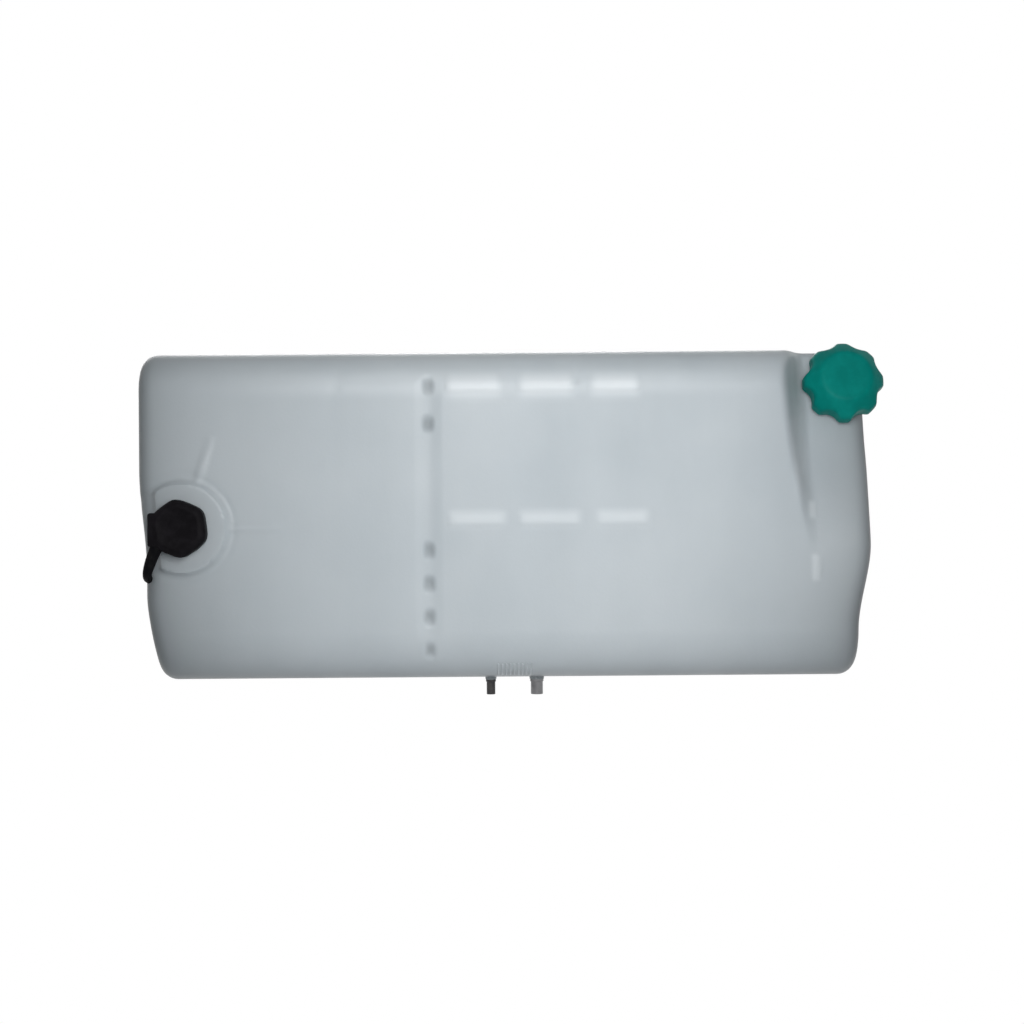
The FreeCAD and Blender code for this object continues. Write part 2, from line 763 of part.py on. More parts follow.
seat_height = size("seat_thick") + size("seat_rise") + size("pad_thick") + size("plate_thick")
coil_spring("pressure_spring", size("spring_radius"), size("wire_radius"), size("spring_coils"),
            seat_height + 0.1, size("neck_height") + size("gasket_thick") - 0.1)
coil_spring("vacuum_spring", size("small_radius"), size("small_wire"), size("small_coils"),
            seat_height + 0.1, seat_height + size("poppet_rise") - 0.1)

# Level sensor: hexagon head, threaded shank and fork for the float
head_low = "seal_thick"
head_high = "(seal_thick + hex_thick)"
pivot_level = "(-stem_length)"
sensor = new_body("sensor_body")
hexagon = new_sketch(sensor, "sensor_hexagon", "XY_Plane", head_low)
corner = "(hex_across / 2 / cos(30))"
polygon(hexagon, [(f"{corner} * cos({60 * i + 37})", f"{corner} * sin({60 * i + 37})") for i in range(6)])
extrude(sensor, hexagon, "sensor_head", "hex_thick")
turn_profile(sensor, "sensor_shank", [
    ("0", f"{head_low} + 1"),
    ("port_radius - shank_play", f"{head_low} + 1"),
    ("port_radius - shank_play", "-collar_depth - boss_rise"),
    ("stem_radius", "-collar_depth - boss_rise"),
    ("stem_radius", f"{pivot_level} + 8"),
    ("0", f"{pivot_level} + 8"),
])
for side in (-1, 1):
    cheek = new_sketch(sensor, f"sensor_cheek_{side + 1}", "YZ_Plane", f"{side} * (fork_gap / 2 + 1.5)")
    polygon(cheek, [("-5", f"{pivot_level} - 5"), ("5", f"{pivot_level} - 5"),
                    ("5", f"{pivot_level} + 9"), ("-5", f"{pivot_level} + 9")])
    extrude(sensor, cheek, f"sensor_fork_{side + 1}", "3", both=True)
pin_line = new_sketch(sensor, "sensor_pin_line", "YZ_Plane")
circle(pin_line, "pivot_radius + close_play", "0", pivot_level)
extrude(sensor, pin_line, "sensor_pin_hole", "stem_radius * 4", "PartDesign::Pocket", both=True)
reed_hole = new_sketch(sensor, "sensor_reed_line", "XY_Plane", f"{pivot_level} + 12")
circle(reed_hole, "reed_radius + close_play")
extrude(sensor, reed_hole, "sensor_reed_hole", "reed_length + 0.2", "PartDesign::Pocket", back=True)
block = new_sketch(sensor, "sensor_block_outline", "XY_Plane", f"{head_low} + 2")
polygon(block, [("-hex_across / 2 - plug_reach", "-plug_tall / 2"), ("0", "-plug_tall / 2"),
                ("0", "plug_tall / 2"), ("-hex_across / 2 - plug_reach", "plug_tall / 2")])
extrude(sensor, block, "sensor_block", "plug_thick")
dish = new_sketch(sensor, "sensor_dish_outline", "XY_Plane", head_high)
circle(dish, "hex_across / 2 - 6")
extrude(sensor, dish, "sensor_dish", "1.5", "PartDesign::Pocket")
sensor_gland = sensor.newObject("PartDesign::AdditiveCylinder", "sensor_gland")
bind(sensor_gland, "Radius", "gland_radius")
bind(sensor_gland, "Height", "gland_reach")
aim = FreeCAD.Rotation(vec(0, 0, 1), size("gland_angle")) * FreeCAD.Rotation(vec(0, 1, 0), 90)
sensor_gland.Placement = FreeCAD.Placement(vec(0, 0, 0), aim)
bind(sensor_gland, "Placement.Base.z", "seal_thick + hex_thick / 2")
in_sensor(sensor)

washer = new_body("sensor_seal")
turn_profile(washer, "sensor_seal_turn", [
    ("port_radius - shank_play + close_play", "0"),
    ("port_radius + seal_width", "0"),
    ("port_radius + seal_width", "seal_thick"),
    ("port_radius - shank_play + close_play", "seal_thick"),
])
in_sensor(washer)

reed = new_body("reed_switch")
turn_profile(reed, "reed_switch_turn", [
    ("0", f"{pivot_level} + 12"),
    ("reed_radius", f"{pivot_level} + 12"),
    ("reed_radius", f"{pivot_level} + 12 + reed_length"),
    ("0", f"{pivot_level} + 12 + reed_length"),
])
in_sensor(reed)

pin = cylinder("float_pin", "pivot_radius", "fork_gap + 6")
place(pin, f"{sensor_across} - fork_gap / 2 - 3", f"stem_length - {front} - boss_rise", "-sensor_drop",
      vec(0, 1, 0), "90")

# Float on its arm, hanging at its lower stop; its own Y runs inwards
swim = new_body("sensor_float")
eye = new_sketch(swim, "float_eye_outline", "YZ_Plane")
circle(eye, "eye_radius")
extrude(swim, eye, "float_eye", "fork_gap - 2 * eye_play", both=True)
arm = new_sketch(swim, "float_arm_outline", "YZ_Plane")
polygon(arm, [("0", "-2.5"), ("float_reach + 3", "-2.5"), ("float_reach + 3", "2.5"), ("0", "2.5")])
extrude(swim, arm, "float_arm", "fork_gap - 2 * eye_play", both=True)
barrel = new_sketch(swim, "float_barrel_profile", "XY_Plane")
polygon(barrel, [
    ("0", "float_reach"),
    ("float_radius", "float_reach"),
    ("float_radius", "float_reach + float_length"),
    ("0", "float_reach + float_length"),
])
drum = swim.newObject("PartDesign::Revolution", "float_barrel")
drum.Profile = (barrel, [""])
drum.ReferenceAxis = (barrel, ["V_Axis"])
drum.Angle = 360
eye_hole = new_sketch(swim, "float_eye_hole_outline", "YZ_Plane")
circle(eye_hole, "pivot_radius + pivot_play")
extrude(swim, eye_hole, "float_eye_hole", "stem_radius * 4", "PartDesign::Pocket", both=True)
magnet_hole = new_sketch(swim, "float_magnet_hole_outline", "XZ_Plane", "-float_reach - float_length")
circle(magnet_hole, "magnet_radius + close_play")
extrude(swim, magnet_hole, "float_magnet_hole", "magnet_length + 1", "PartDesign::Pocket", back=True)
float_back = f"stem_length - {front} - boss_rise"
place(swim, sensor_across, float_back, "-sensor_drop", vec(1, 0, 0), "-float_droop")
magnet = cylinder("float_magnet", "magnet_radius", "magnet_length")
reach = "(float_reach + float_length - 1)"
place(magnet, sensor_across, f"{float_back} + {reach} * cos(float_droop)",
      f"-sensor_drop - {reach} * sin(float_droop)", vec(1, 0, 0), "90 - float_droop")

# Sensor lead
lead = doc.addObject("Part::Feature", "sensor_lead")
lead.Shape = lead_path.makePipeShell([lead_section("0")], True, False, 0)

plug = new_body("lead_plug")
turn_profile(plug, "lead_plug_turn", [
    ("0", "0"),
    ("plug_radius", "0"),
    ("plug_radius", "plug_length"),
    ("socket_radius", "plug_length"),
    ("socket_radius", "plug_length - socket_depth"),
    ("0", "plug_length - socket_depth"),
])
place(plug, lead_across, "-lead_end", "-lead_drop", vec(1, 0, 0), "-90")
pins = []
for side in (-1, 1):
    blade = cylinder(f"plug_pin_{side + 1}", "pin_radius", "pin_show")
    pins.append(place(blade, f"{lead_across} + {side} * pin_spread", "plug_length - socket_depth - lead_end",
                      "-lead_drop", vec(1, 0, 0), "-90"))
terminals = doc.addObject("Part::Compound", "plug_terminals")
terminals.Links = pins

nodes = [
    "tank_body", "mounting_inserts", "vent_nipple", "makeup_nipple", "vent_standpipe",
    "cap_shell", "valve_carrier", "cap_gasket", "valve_seat", "pressure_seal", "pressure_plate",
    "vacuum_valve", "pressure_spring", "vacuum_spring",
    "sensor_body", "sensor_seal", "reed_switch", "float_pin", "sensor_float", "float_magnet",
    "sensor_lead", "lead_plug", "plug_terminals",
]

doc.recompute()
for item in doc.Objects:
    if "Invalid" in item.State or "Error" in item.State:
        raise RuntimeError(f"{item.Name} failed: {item.State}")
os.makedirs("parts", exist_ok=True)
for node in nodes:
    item = doc.getObject(node)
    if item.Shape.isNull() or not item.Shape.isValid() or not item.Shape.Solids:
        raise RuntimeError(f"{node} has no valid solid")
for node in nodes:
    item = doc.getObject(node)
    item.Label = node
    item.Shape.exportStep(f"parts/{node}.step")
    print(node, len(item.Shape.Solids), round(item.Shape.Volume, 1))
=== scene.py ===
import json
import math
import bmesh
import bpy
import numpy as np
from mathutils import Matrix, Vector

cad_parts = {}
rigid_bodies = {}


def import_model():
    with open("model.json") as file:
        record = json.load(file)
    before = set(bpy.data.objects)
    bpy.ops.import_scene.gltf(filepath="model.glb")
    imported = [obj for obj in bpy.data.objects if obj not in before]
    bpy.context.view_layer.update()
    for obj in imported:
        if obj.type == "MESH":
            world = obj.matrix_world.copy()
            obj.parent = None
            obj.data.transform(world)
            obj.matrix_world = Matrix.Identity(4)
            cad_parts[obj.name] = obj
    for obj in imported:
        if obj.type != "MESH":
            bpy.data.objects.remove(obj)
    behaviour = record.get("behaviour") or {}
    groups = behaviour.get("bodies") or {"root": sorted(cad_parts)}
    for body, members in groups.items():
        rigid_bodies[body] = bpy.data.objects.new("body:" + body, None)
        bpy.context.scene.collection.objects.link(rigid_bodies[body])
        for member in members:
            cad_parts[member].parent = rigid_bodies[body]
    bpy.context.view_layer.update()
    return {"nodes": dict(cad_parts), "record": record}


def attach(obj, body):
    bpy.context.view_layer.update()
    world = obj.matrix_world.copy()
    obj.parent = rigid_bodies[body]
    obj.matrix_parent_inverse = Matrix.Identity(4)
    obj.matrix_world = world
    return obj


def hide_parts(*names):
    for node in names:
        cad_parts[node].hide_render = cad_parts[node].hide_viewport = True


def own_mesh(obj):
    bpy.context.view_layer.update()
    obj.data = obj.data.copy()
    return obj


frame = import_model()
nodes = frame["nodes"]
scene = bpy.context.scene
mm = 0.001


def looseObject(name, data):
    holder = bpy.data.objects.new(name, data)
    scene.collection.objects.link(holder)
    return holder


def addObject(name, mesh, body, replaced=()):
    piece = looseObject(name, mesh)
    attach(piece, body)
    if replaced:
        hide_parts(*replaced)
    return piece


def smoothShade(mesh, degrees):
    mesh.shade_smooth()
    mesh.set_sharp_from_angle(angle=math.radians(degrees))


def gridMesh(name, rows):
    # rows: list of equally long closed rings of points, in metres
    count = len(rows[0])
    verts = [p for row in rows for p in row]
    faces = []
    for i in range(len(rows) - 1):
        a, b = i * count, (i + 1) * count
        for j in range(count):
            k = (j + 1) % count
            faces.append((a + j, a + k, b + k, b + j))
    mesh = bpy.data.meshes.new(name)
    mesh.from_pydata(verts, [], faces)
    return mesh


def tidyMesh(mesh, merge=1e-6):
    work = bmesh.new()
    work.from_mesh(mesh)
    bmesh.ops.remove_doubles(work, verts=work.verts, dist=merge)
    bmesh.ops.dissolve_degenerate(work, edges=work.edges, dist=1e-7)
    bmesh.ops.recalc_face_normals(work, faces=work.faces)
    work.to_mesh(mesh)
    work.free()


def bakedMesh(piece, name):
    # modifiers become plain mesh
    depsgraph = bpy.context.evaluated_depsgraph_get()
    mesh = bpy.data.meshes.new_from_object(piece.evaluated_get(depsgraph), depsgraph=depsgraph)
    mesh.name = name
    return mesh


softEdges = {"segments": 3, "sharpAngle": 35, "shadeAngle": 40, "merge": 2e-6, "flatWithin": 1}


def softened(node, width):
    # merged copy of a CAD node with its sharp edges rounded
    s = softEdges
    mesh = nodes[node].data.copy()
    mesh.materials.clear()
    work = bmesh.new()
    work.from_mesh(mesh)
    bmesh.ops.remove_doubles(work, verts=work.verts, dist=s["merge"])
    flat = math.radians(s["flatWithin"])
    bmesh.ops.dissolve_limit(work, angle_limit=flat, verts=work.verts, edges=work.edges)
    work.to_mesh(mesh)
    work.free()
    holder = looseObject(node + "Soft", mesh)
    rounding = holder.modifiers.new("rounding", "BEVEL")
    rounding.width = width * mm
    rounding.segments = s["segments"]
    rounding.limit_method = "ANGLE"
    rounding.angle_limit = math.radians(s["sharpAngle"])
    rounding.use_clamp_overlap = True
    rounding.miter_outer = "MITER_ARC"
    mesh = bakedMesh(holder, node + "Soft")
    bpy.data.objects.remove(holder)
    smoothShade(mesh, s["shadeAngle"])
    return mesh


def carved(mesh, tools, operation):
    # joins closed tool meshes to a closed mesh, or cuts them out of it
    holder = looseObject("carved", mesh)
    box = bpy.data.collections.new("tools")
    scene.collection.children.link(box)
    for tool in tools:
        box.objects.link(bpy.data.objects.new("tool", tool))
    carve = holder.modifiers.new("carve", "BOOLEAN")
    carve.operation = operation
    carve.solver = "EXACT"
    carve.operand_type = "COLLECTION"
    carve.collection = box
    result = bakedMesh(holder, mesh.name)
    for item in list(box.objects):
        bpy.data.objects.remove(item)
    bpy.data.collections.remove(box)
    bpy.data.objects.remove(holder)
    result.materials.clear()
    return result


def ringPoint(radius, turn, height):
    return Vector((radius * math.cos(turn) * mm, radius * math.sin(turn) * mm, height * mm))


def turnedSolid(profile, count, toWorld):
    # closed solid of revolution whose profile begins and ends on the axis
    turns = [2 * math.pi * i / count for i in range(count)]
    rings = [[toWorld @ ringPoint(radius, turn, height) for turn in turns] for radius, height in profile]
    mesh = gridMesh("turned", rings)
    tidyMesh(mesh)
    return mesh


def brick(low, high, soft, toWorld):
    # box with rounded edges
    work = bmesh.new()
    bmesh.ops.create_cube(work, size=1)
    for vert in work.verts:
        vert.co = Vector([(a + b) / 2 + c * (b - a) for a, b, c in zip(low, high, vert.co)]) * mm
    bmesh.ops.bevel(
        work, geom=list(work.edges), offset=soft * mm, segments=4, profile=0.5, affect="EDGES")
    bmesh.ops.transform(work, matrix=toWorld, verts=work.verts)
    bmesh.ops.recalc_face_normals(work, faces=work.faces)
    mesh = bpy.data.meshes.new("brick")
    work.to_mesh(mesh)
    work.free()
    return mesh


def grown(name, inputs, build):
    # runs a Geometry Nodes tree and keeps its result as plain mesh
    tree = bpy.data.node_groups.new(name, "GeometryNodeTree")
    sockets = {}
    for label, kind, value in inputs:
        sockets[label] = tree.interface.new_socket(label, in_out="INPUT", socket_type=kind)
        if kind != "NodeSocketMaterial":
            sockets[label].default_value = value
    tree.interface.new_socket("Geometry", in_out="OUTPUT", socket_type="NodeSocketGeometry")
    source, result = tree.nodes.new("NodeGroupInput"), tree.nodes.new("NodeGroupOutput")
    geometry = build(tree, source.outputs)
    realize = tree.nodes.new("GeometryNodeRealizeInstances")
    coat = tree.nodes.new("GeometryNodeSetMaterial")
    tree.links.new(geometry, realize.inputs[0])
    tree.links.new(realize.outputs[0], coat.inputs["Geometry"])
    tree.links.new(source.outputs["Material"], coat.inputs["Material"])
    tree.links.new(coat.outputs[0], result.inputs[0])
    holder = looseObject(name, bpy.data.meshes.new(name))
    grower = holder.modifiers.new(name, "NODES")
    grower.node_group = tree
    for label, kind, value in inputs:
        grower[sockets[label].identifier] = value
    mesh = bakedMesh(holder, name)
    bpy.data.objects.remove(holder)
    return mesh


def newTree(name, inputs, outputs):
    tree = bpy.data.node_groups.new(name, "ShaderNodeTree")
    for label, kind, value in inputs:
        socket = tree.interface.new_socket(label, in_out="INPUT", socket_type=kind)
        socket.default_value = value
    for label, kind in outputs:
        tree.interface.new_socket(label, in_out="OUTPUT", socket_type=kind)
    return tree, tree.nodes.new("NodeGroupInput"), tree.nodes.new("NodeGroupOutput")


def addNode(tree, kind, **settings):
    node = tree.nodes.new(kind)
    for key, value in settings.items():
        setattr(node, key, value)
    return node


def ramped(tree, source, low, high, outLow, outHigh):
    node = addNode(tree, "ShaderNodeMapRange")
    node.inputs["From Min"].default_value = low
    node.inputs["From Max"].default_value = high
    node.inputs["To Min"].default_value = outLow
    node.inputs["To Max"].default_value = outHigh
    tree.links.new(source, node.inputs["Value"])
    return node.outputs["Result"]


def mixedColour(tree, factor, first, second):
    node = addNode(tree, "ShaderNodeMix", data_type="RGBA")
    for value, socket in ((factor, node.inputs[0]), (first, node.inputs[6]), (second, node.inputs[7])):
        if hasattr(value, "is_linked"):
            tree.links.new(value, socket)
        else:
            socket.default_value = value
    return node.outputs[2]


def makeGrainGroup():
    # mottled colour, uneven gloss and a fine moulded grain
    tree, source, result = newTree("mouldGrain", [
        ("Base", "NodeSocketColor", (0.5, 0.5, 0.5, 1)),
        ("Worn", "NodeSocketColor", (0.6, 0.6, 0.6, 1)),
        ("Mottle Scale", "NodeSocketFloat", 30),
        ("Grain Scale", "NodeSocketFloat", 900),
        ("Rough Low", "NodeSocketFloat", 0.3),
        ("Rough High", "NodeSocketFloat", 0.5),
    ], [("Color", "NodeSocketColor"), ("Roughness", "NodeSocketFloat"), ("Height", "NodeSocketFloat")])
    place = addNode(tree, "ShaderNodeTexCoord")
    mottle = addNode(tree, "ShaderNodeTexNoise")
    mottle.inputs["Detail"].default_value = 5
    mottle.inputs["Roughness"].default_value = 0.6
    grain = addNode(tree, "ShaderNodeTexNoise")
    grain.inputs["Detail"].default_value = 3
    for texture, label in ((mottle, "Mottle Scale"), (grain, "Grain Scale")):
        tree.links.new(place.outputs["Object"], texture.inputs["Vector"])
        tree.links.new(source.outputs[label], texture.inputs["Scale"])
    wear = ramped(tree, mottle.outputs["Fac"], 0.42, 0.72, 0, 1)
    colour = mixedColour(tree, wear, source.outputs["Base"], source.outputs["Worn"])
    tree.links.new(colour, result.inputs["Color"])
    gloss = addNode(tree, "ShaderNodeMix", data_type="FLOAT")
    tree.links.new(mottle.outputs["Fac"], gloss.inputs[0])
    tree.links.new(source.outputs["Rough Low"], gloss.inputs[2])
    tree.links.new(source.outputs["Rough High"], gloss.inputs[3])
    tree.links.new(gloss.outputs[0], result.inputs["Roughness"])
    tree.links.new(grain.outputs["Fac"], result.inputs["Height"])
    return tree


grainGroup = makeGrainGroup()


def plainMaterial(name, base, worn, mottle, grain, rough, bump=0.06, metallic=0, **sockets):
    material = bpy.data.materials.new(name)
    material.use_nodes = True
    tree = material.node_tree
    shader = tree.nodes["Principled BSDF"]
    shader.inputs["Metallic"].default_value = metallic
    for label, value in sockets.items():
        shader.inputs[label.replace("_", " ")].default_value = value
    group = addNode(tree, "ShaderNodeGroup")
    group.node_tree = grainGroup
    group.inputs["Base"].default_value = (*base, 1)
    group.inputs["Worn"].default_value = (*worn, 1)
    group.inputs["Mottle Scale"].default_value = mottle
    group.inputs["Grain Scale"].default_value = grain
    group.inputs["Rough Low"].default_value = rough[0]
    group.inputs["Rough High"].default_value = rough[1]
    relief = addNode(tree, "ShaderNodeBump")
    relief.inputs["Strength"].default_value = bump
    relief.inputs["Distance"].default_value = 0.0004
    tree.links.new(group.outputs["Color"], shader.inputs["Base Color"])
    tree.links.new(group.outputs["Roughness"], shader.inputs["Roughness"])
    tree.links.new(group.outputs["Height"], relief.inputs["Height"])
    tree.links.new(relief.outputs["Normal"], shader.inputs["Normal"])
    return material


def milkyMaterial():
    # blown plastic: cloudy thickness and flow streaks, with painted shade along the edges and painted
    # highlights
    look = {
        # edge is the colour of the painted shade, pale the colour of the painted highlights and painted
        # light
        "milk": (0.57, 0.62, 0.65), "thin": (0.5, 0.555, 0.59), "edge": (0.1, 0.112, 0.118),
        "pale": (0.8, 0.85, 0.88), "streak": (0.62, 0.675, 0.71),
        "cloudScale": 5.5, "streakScale": 16, "grainScale": 420,
    }
    material = bpy.data.materials.new("milkyPlastic")
    material.use_nodes = True
    tree = material.node_tree
    shader = tree.nodes["Principled BSDF"]
    shader.inputs["Subsurface Weight"].default_value = 0.2
    shader.inputs["Subsurface Radius"].default_value = (1, 1.05, 1.1)
    shader.inputs["Subsurface Scale"].default_value = 0.006
    shader.inputs["IOR"].default_value = 1.46
    shader.inputs["Specular IOR Level"].default_value = 0.3
    place = addNode(tree, "ShaderNodeTexCoord")
    cloud = addNode(tree, "ShaderNodeTexNoise")
    cloud.inputs["Scale"].default_value = look["cloudScale"]
    cloud.inputs["Detail"].default_value = 4
    tree.links.new(place.outputs["Object"], cloud.inputs["Vector"])
    stretch = addNode(tree, "ShaderNodeMapping")
    stretch.inputs["Scale"].default_value = (1.0, 1.0, 0.18)
    streak = addNode(tree, "ShaderNodeTexNoise")
    streak.inputs["Scale"].default_value = look["streakScale"]
    streak.inputs["Detail"].default_value = 6
    tree.links.new(place.outputs["Object"], stretch.inputs["Vector"])
    tree.links.new(stretch.outputs["Vector"], streak.inputs["Vector"])
    shade = addNode(tree, "ShaderNodeAttribute", attribute_name="paintedShade")
    cloudy = ramped(tree, cloud.outputs["Fac"], 0.35, 0.68, 0, 1)
    body = mixedColour(tree, cloudy, (*look["milk"], 1), (*look["thin"], 1))
    streaky = ramped(tree, streak.outputs["Fac"], 0.4, 0.7, 0, 0.3)
    body = mixedColour(tree, streaky, body, (*look["streak"], 1))
    # painted highlights on the bars, dashes and top rounding, and painted light on the pocket wall
    strip = addNode(tree, "ShaderNodeAttribute", attribute_name="paintedHighlight")
    body = mixedColour(tree, strip.outputs["Fac"], body, (*look["pale"], 1))
    # painted shade along the outline, towards the ends and in the dimples
    body = mixedColour(tree, shade.outputs["Fac"], body, (*look["edge"], 1))
    tree.links.new(body, shader.inputs["Base Color"])
    gloss = ramped(tree, cloud.outputs["Fac"], 0.3, 0.7, 0.3, 0.46)
    tree.links.new(gloss, shader.inputs["Roughness"])
    grain = addNode(tree, "ShaderNodeTexNoise")
    grain.inputs["Scale"].default_value = look["grainScale"]
    grain.inputs["Detail"].default_value = 3
    tree.links.new(place.outputs["Object"], grain.inputs["Vector"])
    relief = addNode(tree, "ShaderNodeBump")
    relief.inputs["Strength"].default_value = 0.12
    relief.inputs["Distance"].default_value = 0.0006
    tree.links.new(grain.outputs["Fac"], relief.inputs["Height"])
    tree.links.new(relief.outputs["Normal"], shader.inputs["Normal"])
    return material


finishes = {
    "milky_plastic": milkyMaterial(),
    "teal_plastic": plainMaterial(
        "tealPlastic", (0.0004, 0.185, 0.158), (0.002, 0.235, 0.2), 60, 1400, (0.34, 0.5),
        Specular_IOR_Level=0.05),
    "black_plastic": plainMaterial(
        "blackPlastic", (0.0045, 0.004, 0.005), (0.011, 0.01, 0.012), 90, 1800, (0.42, 0.6),
        Specular_IOR_Level=0.04),
    "pipe_plastic": plainMaterial(
        "pipePlastic", (0.6, 0.6, 0.56), (0.5, 0.5, 0.46), 60, 1500, (0.35, 0.5)),
    "float_foam": plainMaterial(
        "floatFoam", (0.03, 0.03, 0.03), (0.06, 0.06, 0.058), 300, 2600, (0.75, 0.95), bump=0.4),
    "rubber": plainMaterial(
        "sealRubber", (0.01, 0.01, 0.01), (0.025, 0.025, 0.025), 120, 2000, (0.55, 0.75)),
    "lead_rubber": plainMaterial(
        "leadRubber", (0.004, 0.004, 0.005), (0.01, 0.01, 0.01), 150, 2400, (0.5, 0.7),
        Specular_IOR_Level=0.03),
    "brass": plainMaterial(
        "brass", (0.6, 0.43, 0.17), (0.42, 0.29, 0.11), 150, 2600, (0.22, 0.42),
        bump=0.05, metallic=1),
    "steel": plainMaterial(
        "plainSteel", (0.2, 0.2, 0.205), (0.14, 0.14, 0.145), 150, 2600, (0.25, 0.45),
        bump=0.05, metallic=1),
    "dark_steel": plainMaterial(
        "darkSteel", (0.05, 0.05, 0.053), (0.09, 0.085, 0.08), 150, 2600, (0.35, 0.55),
        bump=0.05, metallic=1),
    "magnet": plainMaterial(
        "magnetSinter", (0.13, 0.13, 0.135), (0.22, 0.22, 0.22), 250, 3000, (0.45, 0.65),
        bump=0.15, metallic=1),
    "reed_glass": plainMaterial(
        "reedGlass", (0.72, 0.78, 0.74), (0.66, 0.72, 0.69), 200, 2600, (0.04, 0.1),
        bump=0.02, Transmission_Weight=0.85, IOR=1.5),
}
for row in frame["record"]["subparts"]:
    shown = nodes[row["node"]].data
    shown.materials.clear()
    shown.materials.append(finishes[row["material_slot"]])
    smoothShade(shown, 30)
print("materials ready:", len(finishes))


tank = {
    "length": 628, "height": 278, "depth": 118, "standoff": 10, "endRadius": 14,
    # left and right end: inset, lean and its span in height, lower lean and its span
    "ends": {-1: (6, 6, 40, -45, 7, -65, -125), 1: (2.6, 2, 50, -10, 11, -25, -100)},
    "topRadius": 32, "bottomRadius": 42, "rearRadius": 18,
    "rampAngle": 14.5, "rampFoot": 72, "slopeAngle": 26, "slopeFoot": 12, "slopeSoftness": 4,
    "pocketWidth": 58, "pocketDraft": 24, "pocketBlend": 7, "edgeSoftness": 12, "rampTopRound": 6,
    "grooveX": -63, "grooveRadius": 30, "grooveDepth": 1.3, "grooveSoftness": 1.5,
    "kissLevels": (109, 77, -29, -57, -85, -113), "kissHalf": (5.2, 7.6), "kissDepth": 3,
    "kissSquareness": 3, "kissFade": (0.1, 1.25),
    "bossX": -269.5, "bossZ": -9, "bossRadius": 38, "bossRise": 6, "bossSlope": 2, "bossSlopeReach": 60,
    "bossFall": 30, "bossFallSpan": (3, 17), "bossSoftness": 3.4,
    "moatDepth": 0.9, "moatOffset": 5.5, "moatWidth": 2.6,
    "ribLength": 42, "ribHalf": 3, "ribRise": 1.6, "ribSoft": 3.6, "ribEndSoft": 4, "ribFade": 0.6,
    "ribTurns": (0, 72),
    "barRaise": 0.9, "barHalf": 5, "barSoft": 5,
    "upperBars": (109, ((-48, 46), (13, 46), (73, 41))),
    "lowerBars": (-3, ((-46, 46), (13, 50), (78, 42))),
    "creases": ((-140, 112, 13, 0.35), (64, 122, 12, 0.3)), 
    "creaseDepth": 1.2, "creaseWidth": 2.2, "creaseSoft": 6,
    "dashes": ((259, 3, 7), (261, -46, 11)), "dashHalf": 3, "dashRaise": 0.6, "dashSoft": (4, 5),
    "fineX": [(-306, -218, 2), (-78, -48, 1.2), (-2, 128, 2.6), (206, 268, 2), (268, 306, 3)],
    "fineZ": [(-97, -46, 1.6), (-50, 34, 1.7), (67, 88, 1.5), (99, 109, 1.4)],
    "plainX": 4.5, "plainZ": 4, "detail": True,
}
cavity = dict(
    tank, length=610, height=270, depth=110, standoff=14, endRadius=6,
    topRadius=28, bottomRadius=38, rearRadius=14, pocketWidth=53, kissHalf=(8, 10.4),
    fineX=[(-78, -48, 2), (200, 268, 3)], fineZ=[(-125, 95, 4)], plainX=9, plainZ=6, detail=False)


def smoothMax(a, b, k):
    h = np.clip(0.5 + 0.5 * (a - b) / k, 0, 1)
    return b + (a - b) * h + k * h * (1 - h)


def smoothStep(low, high, value):
    t = np.clip((value - low) / (high - low), 0, 1)
    return t * t * (3 - 2 * t)


def pad(value, centre, half, soft):
    return 1 - smoothStep(half - soft / 2, half + soft / 2, np.abs(value - centre))


def levelBars(t, x, z, soft, extra=0):
    # 1 on the raised bars, fading at their edges
    cover = np.zeros(np.shape(x))
    for level, spans in (t["upperBars"], t["lowerBars"]):
        for start, length in spans:
            half = length / 2
            bar = pad(x, start + half, half, soft) * pad(z, level, t["barHalf"] + extra, soft)
            cover = np.maximum(cover, bar)
    return cover


def rampDashes(t, x, z):
    # 1 on the two raised dashes beside the ramp
    softX, softZ = t["dashSoft"]
    cover = np.zeros(np.shape(x))
    for cx, cz, half in t["dashes"]:
        cover = np.maximum(cover, pad(x, cx, t["dashHalf"], softX) * pad(z, cz, half, softZ))
    return cover


def kissMarks(t, x, z):
    # 1 at the middle of each kiss-off dimple
    wide, high = t["kissHalf"]
    power = t["kissSquareness"]
    cover = np.zeros(np.shape(x))
    for level in t["kissLevels"]:
        across, along = np.abs((x - t["grooveX"]) / wide), np.abs((z - level) / high)
        ring = (across ** power + along ** power) ** (1 / power)
        cover = np.maximum(cover, 1 - smoothStep(*t["kissFade"], ring))
    return cover


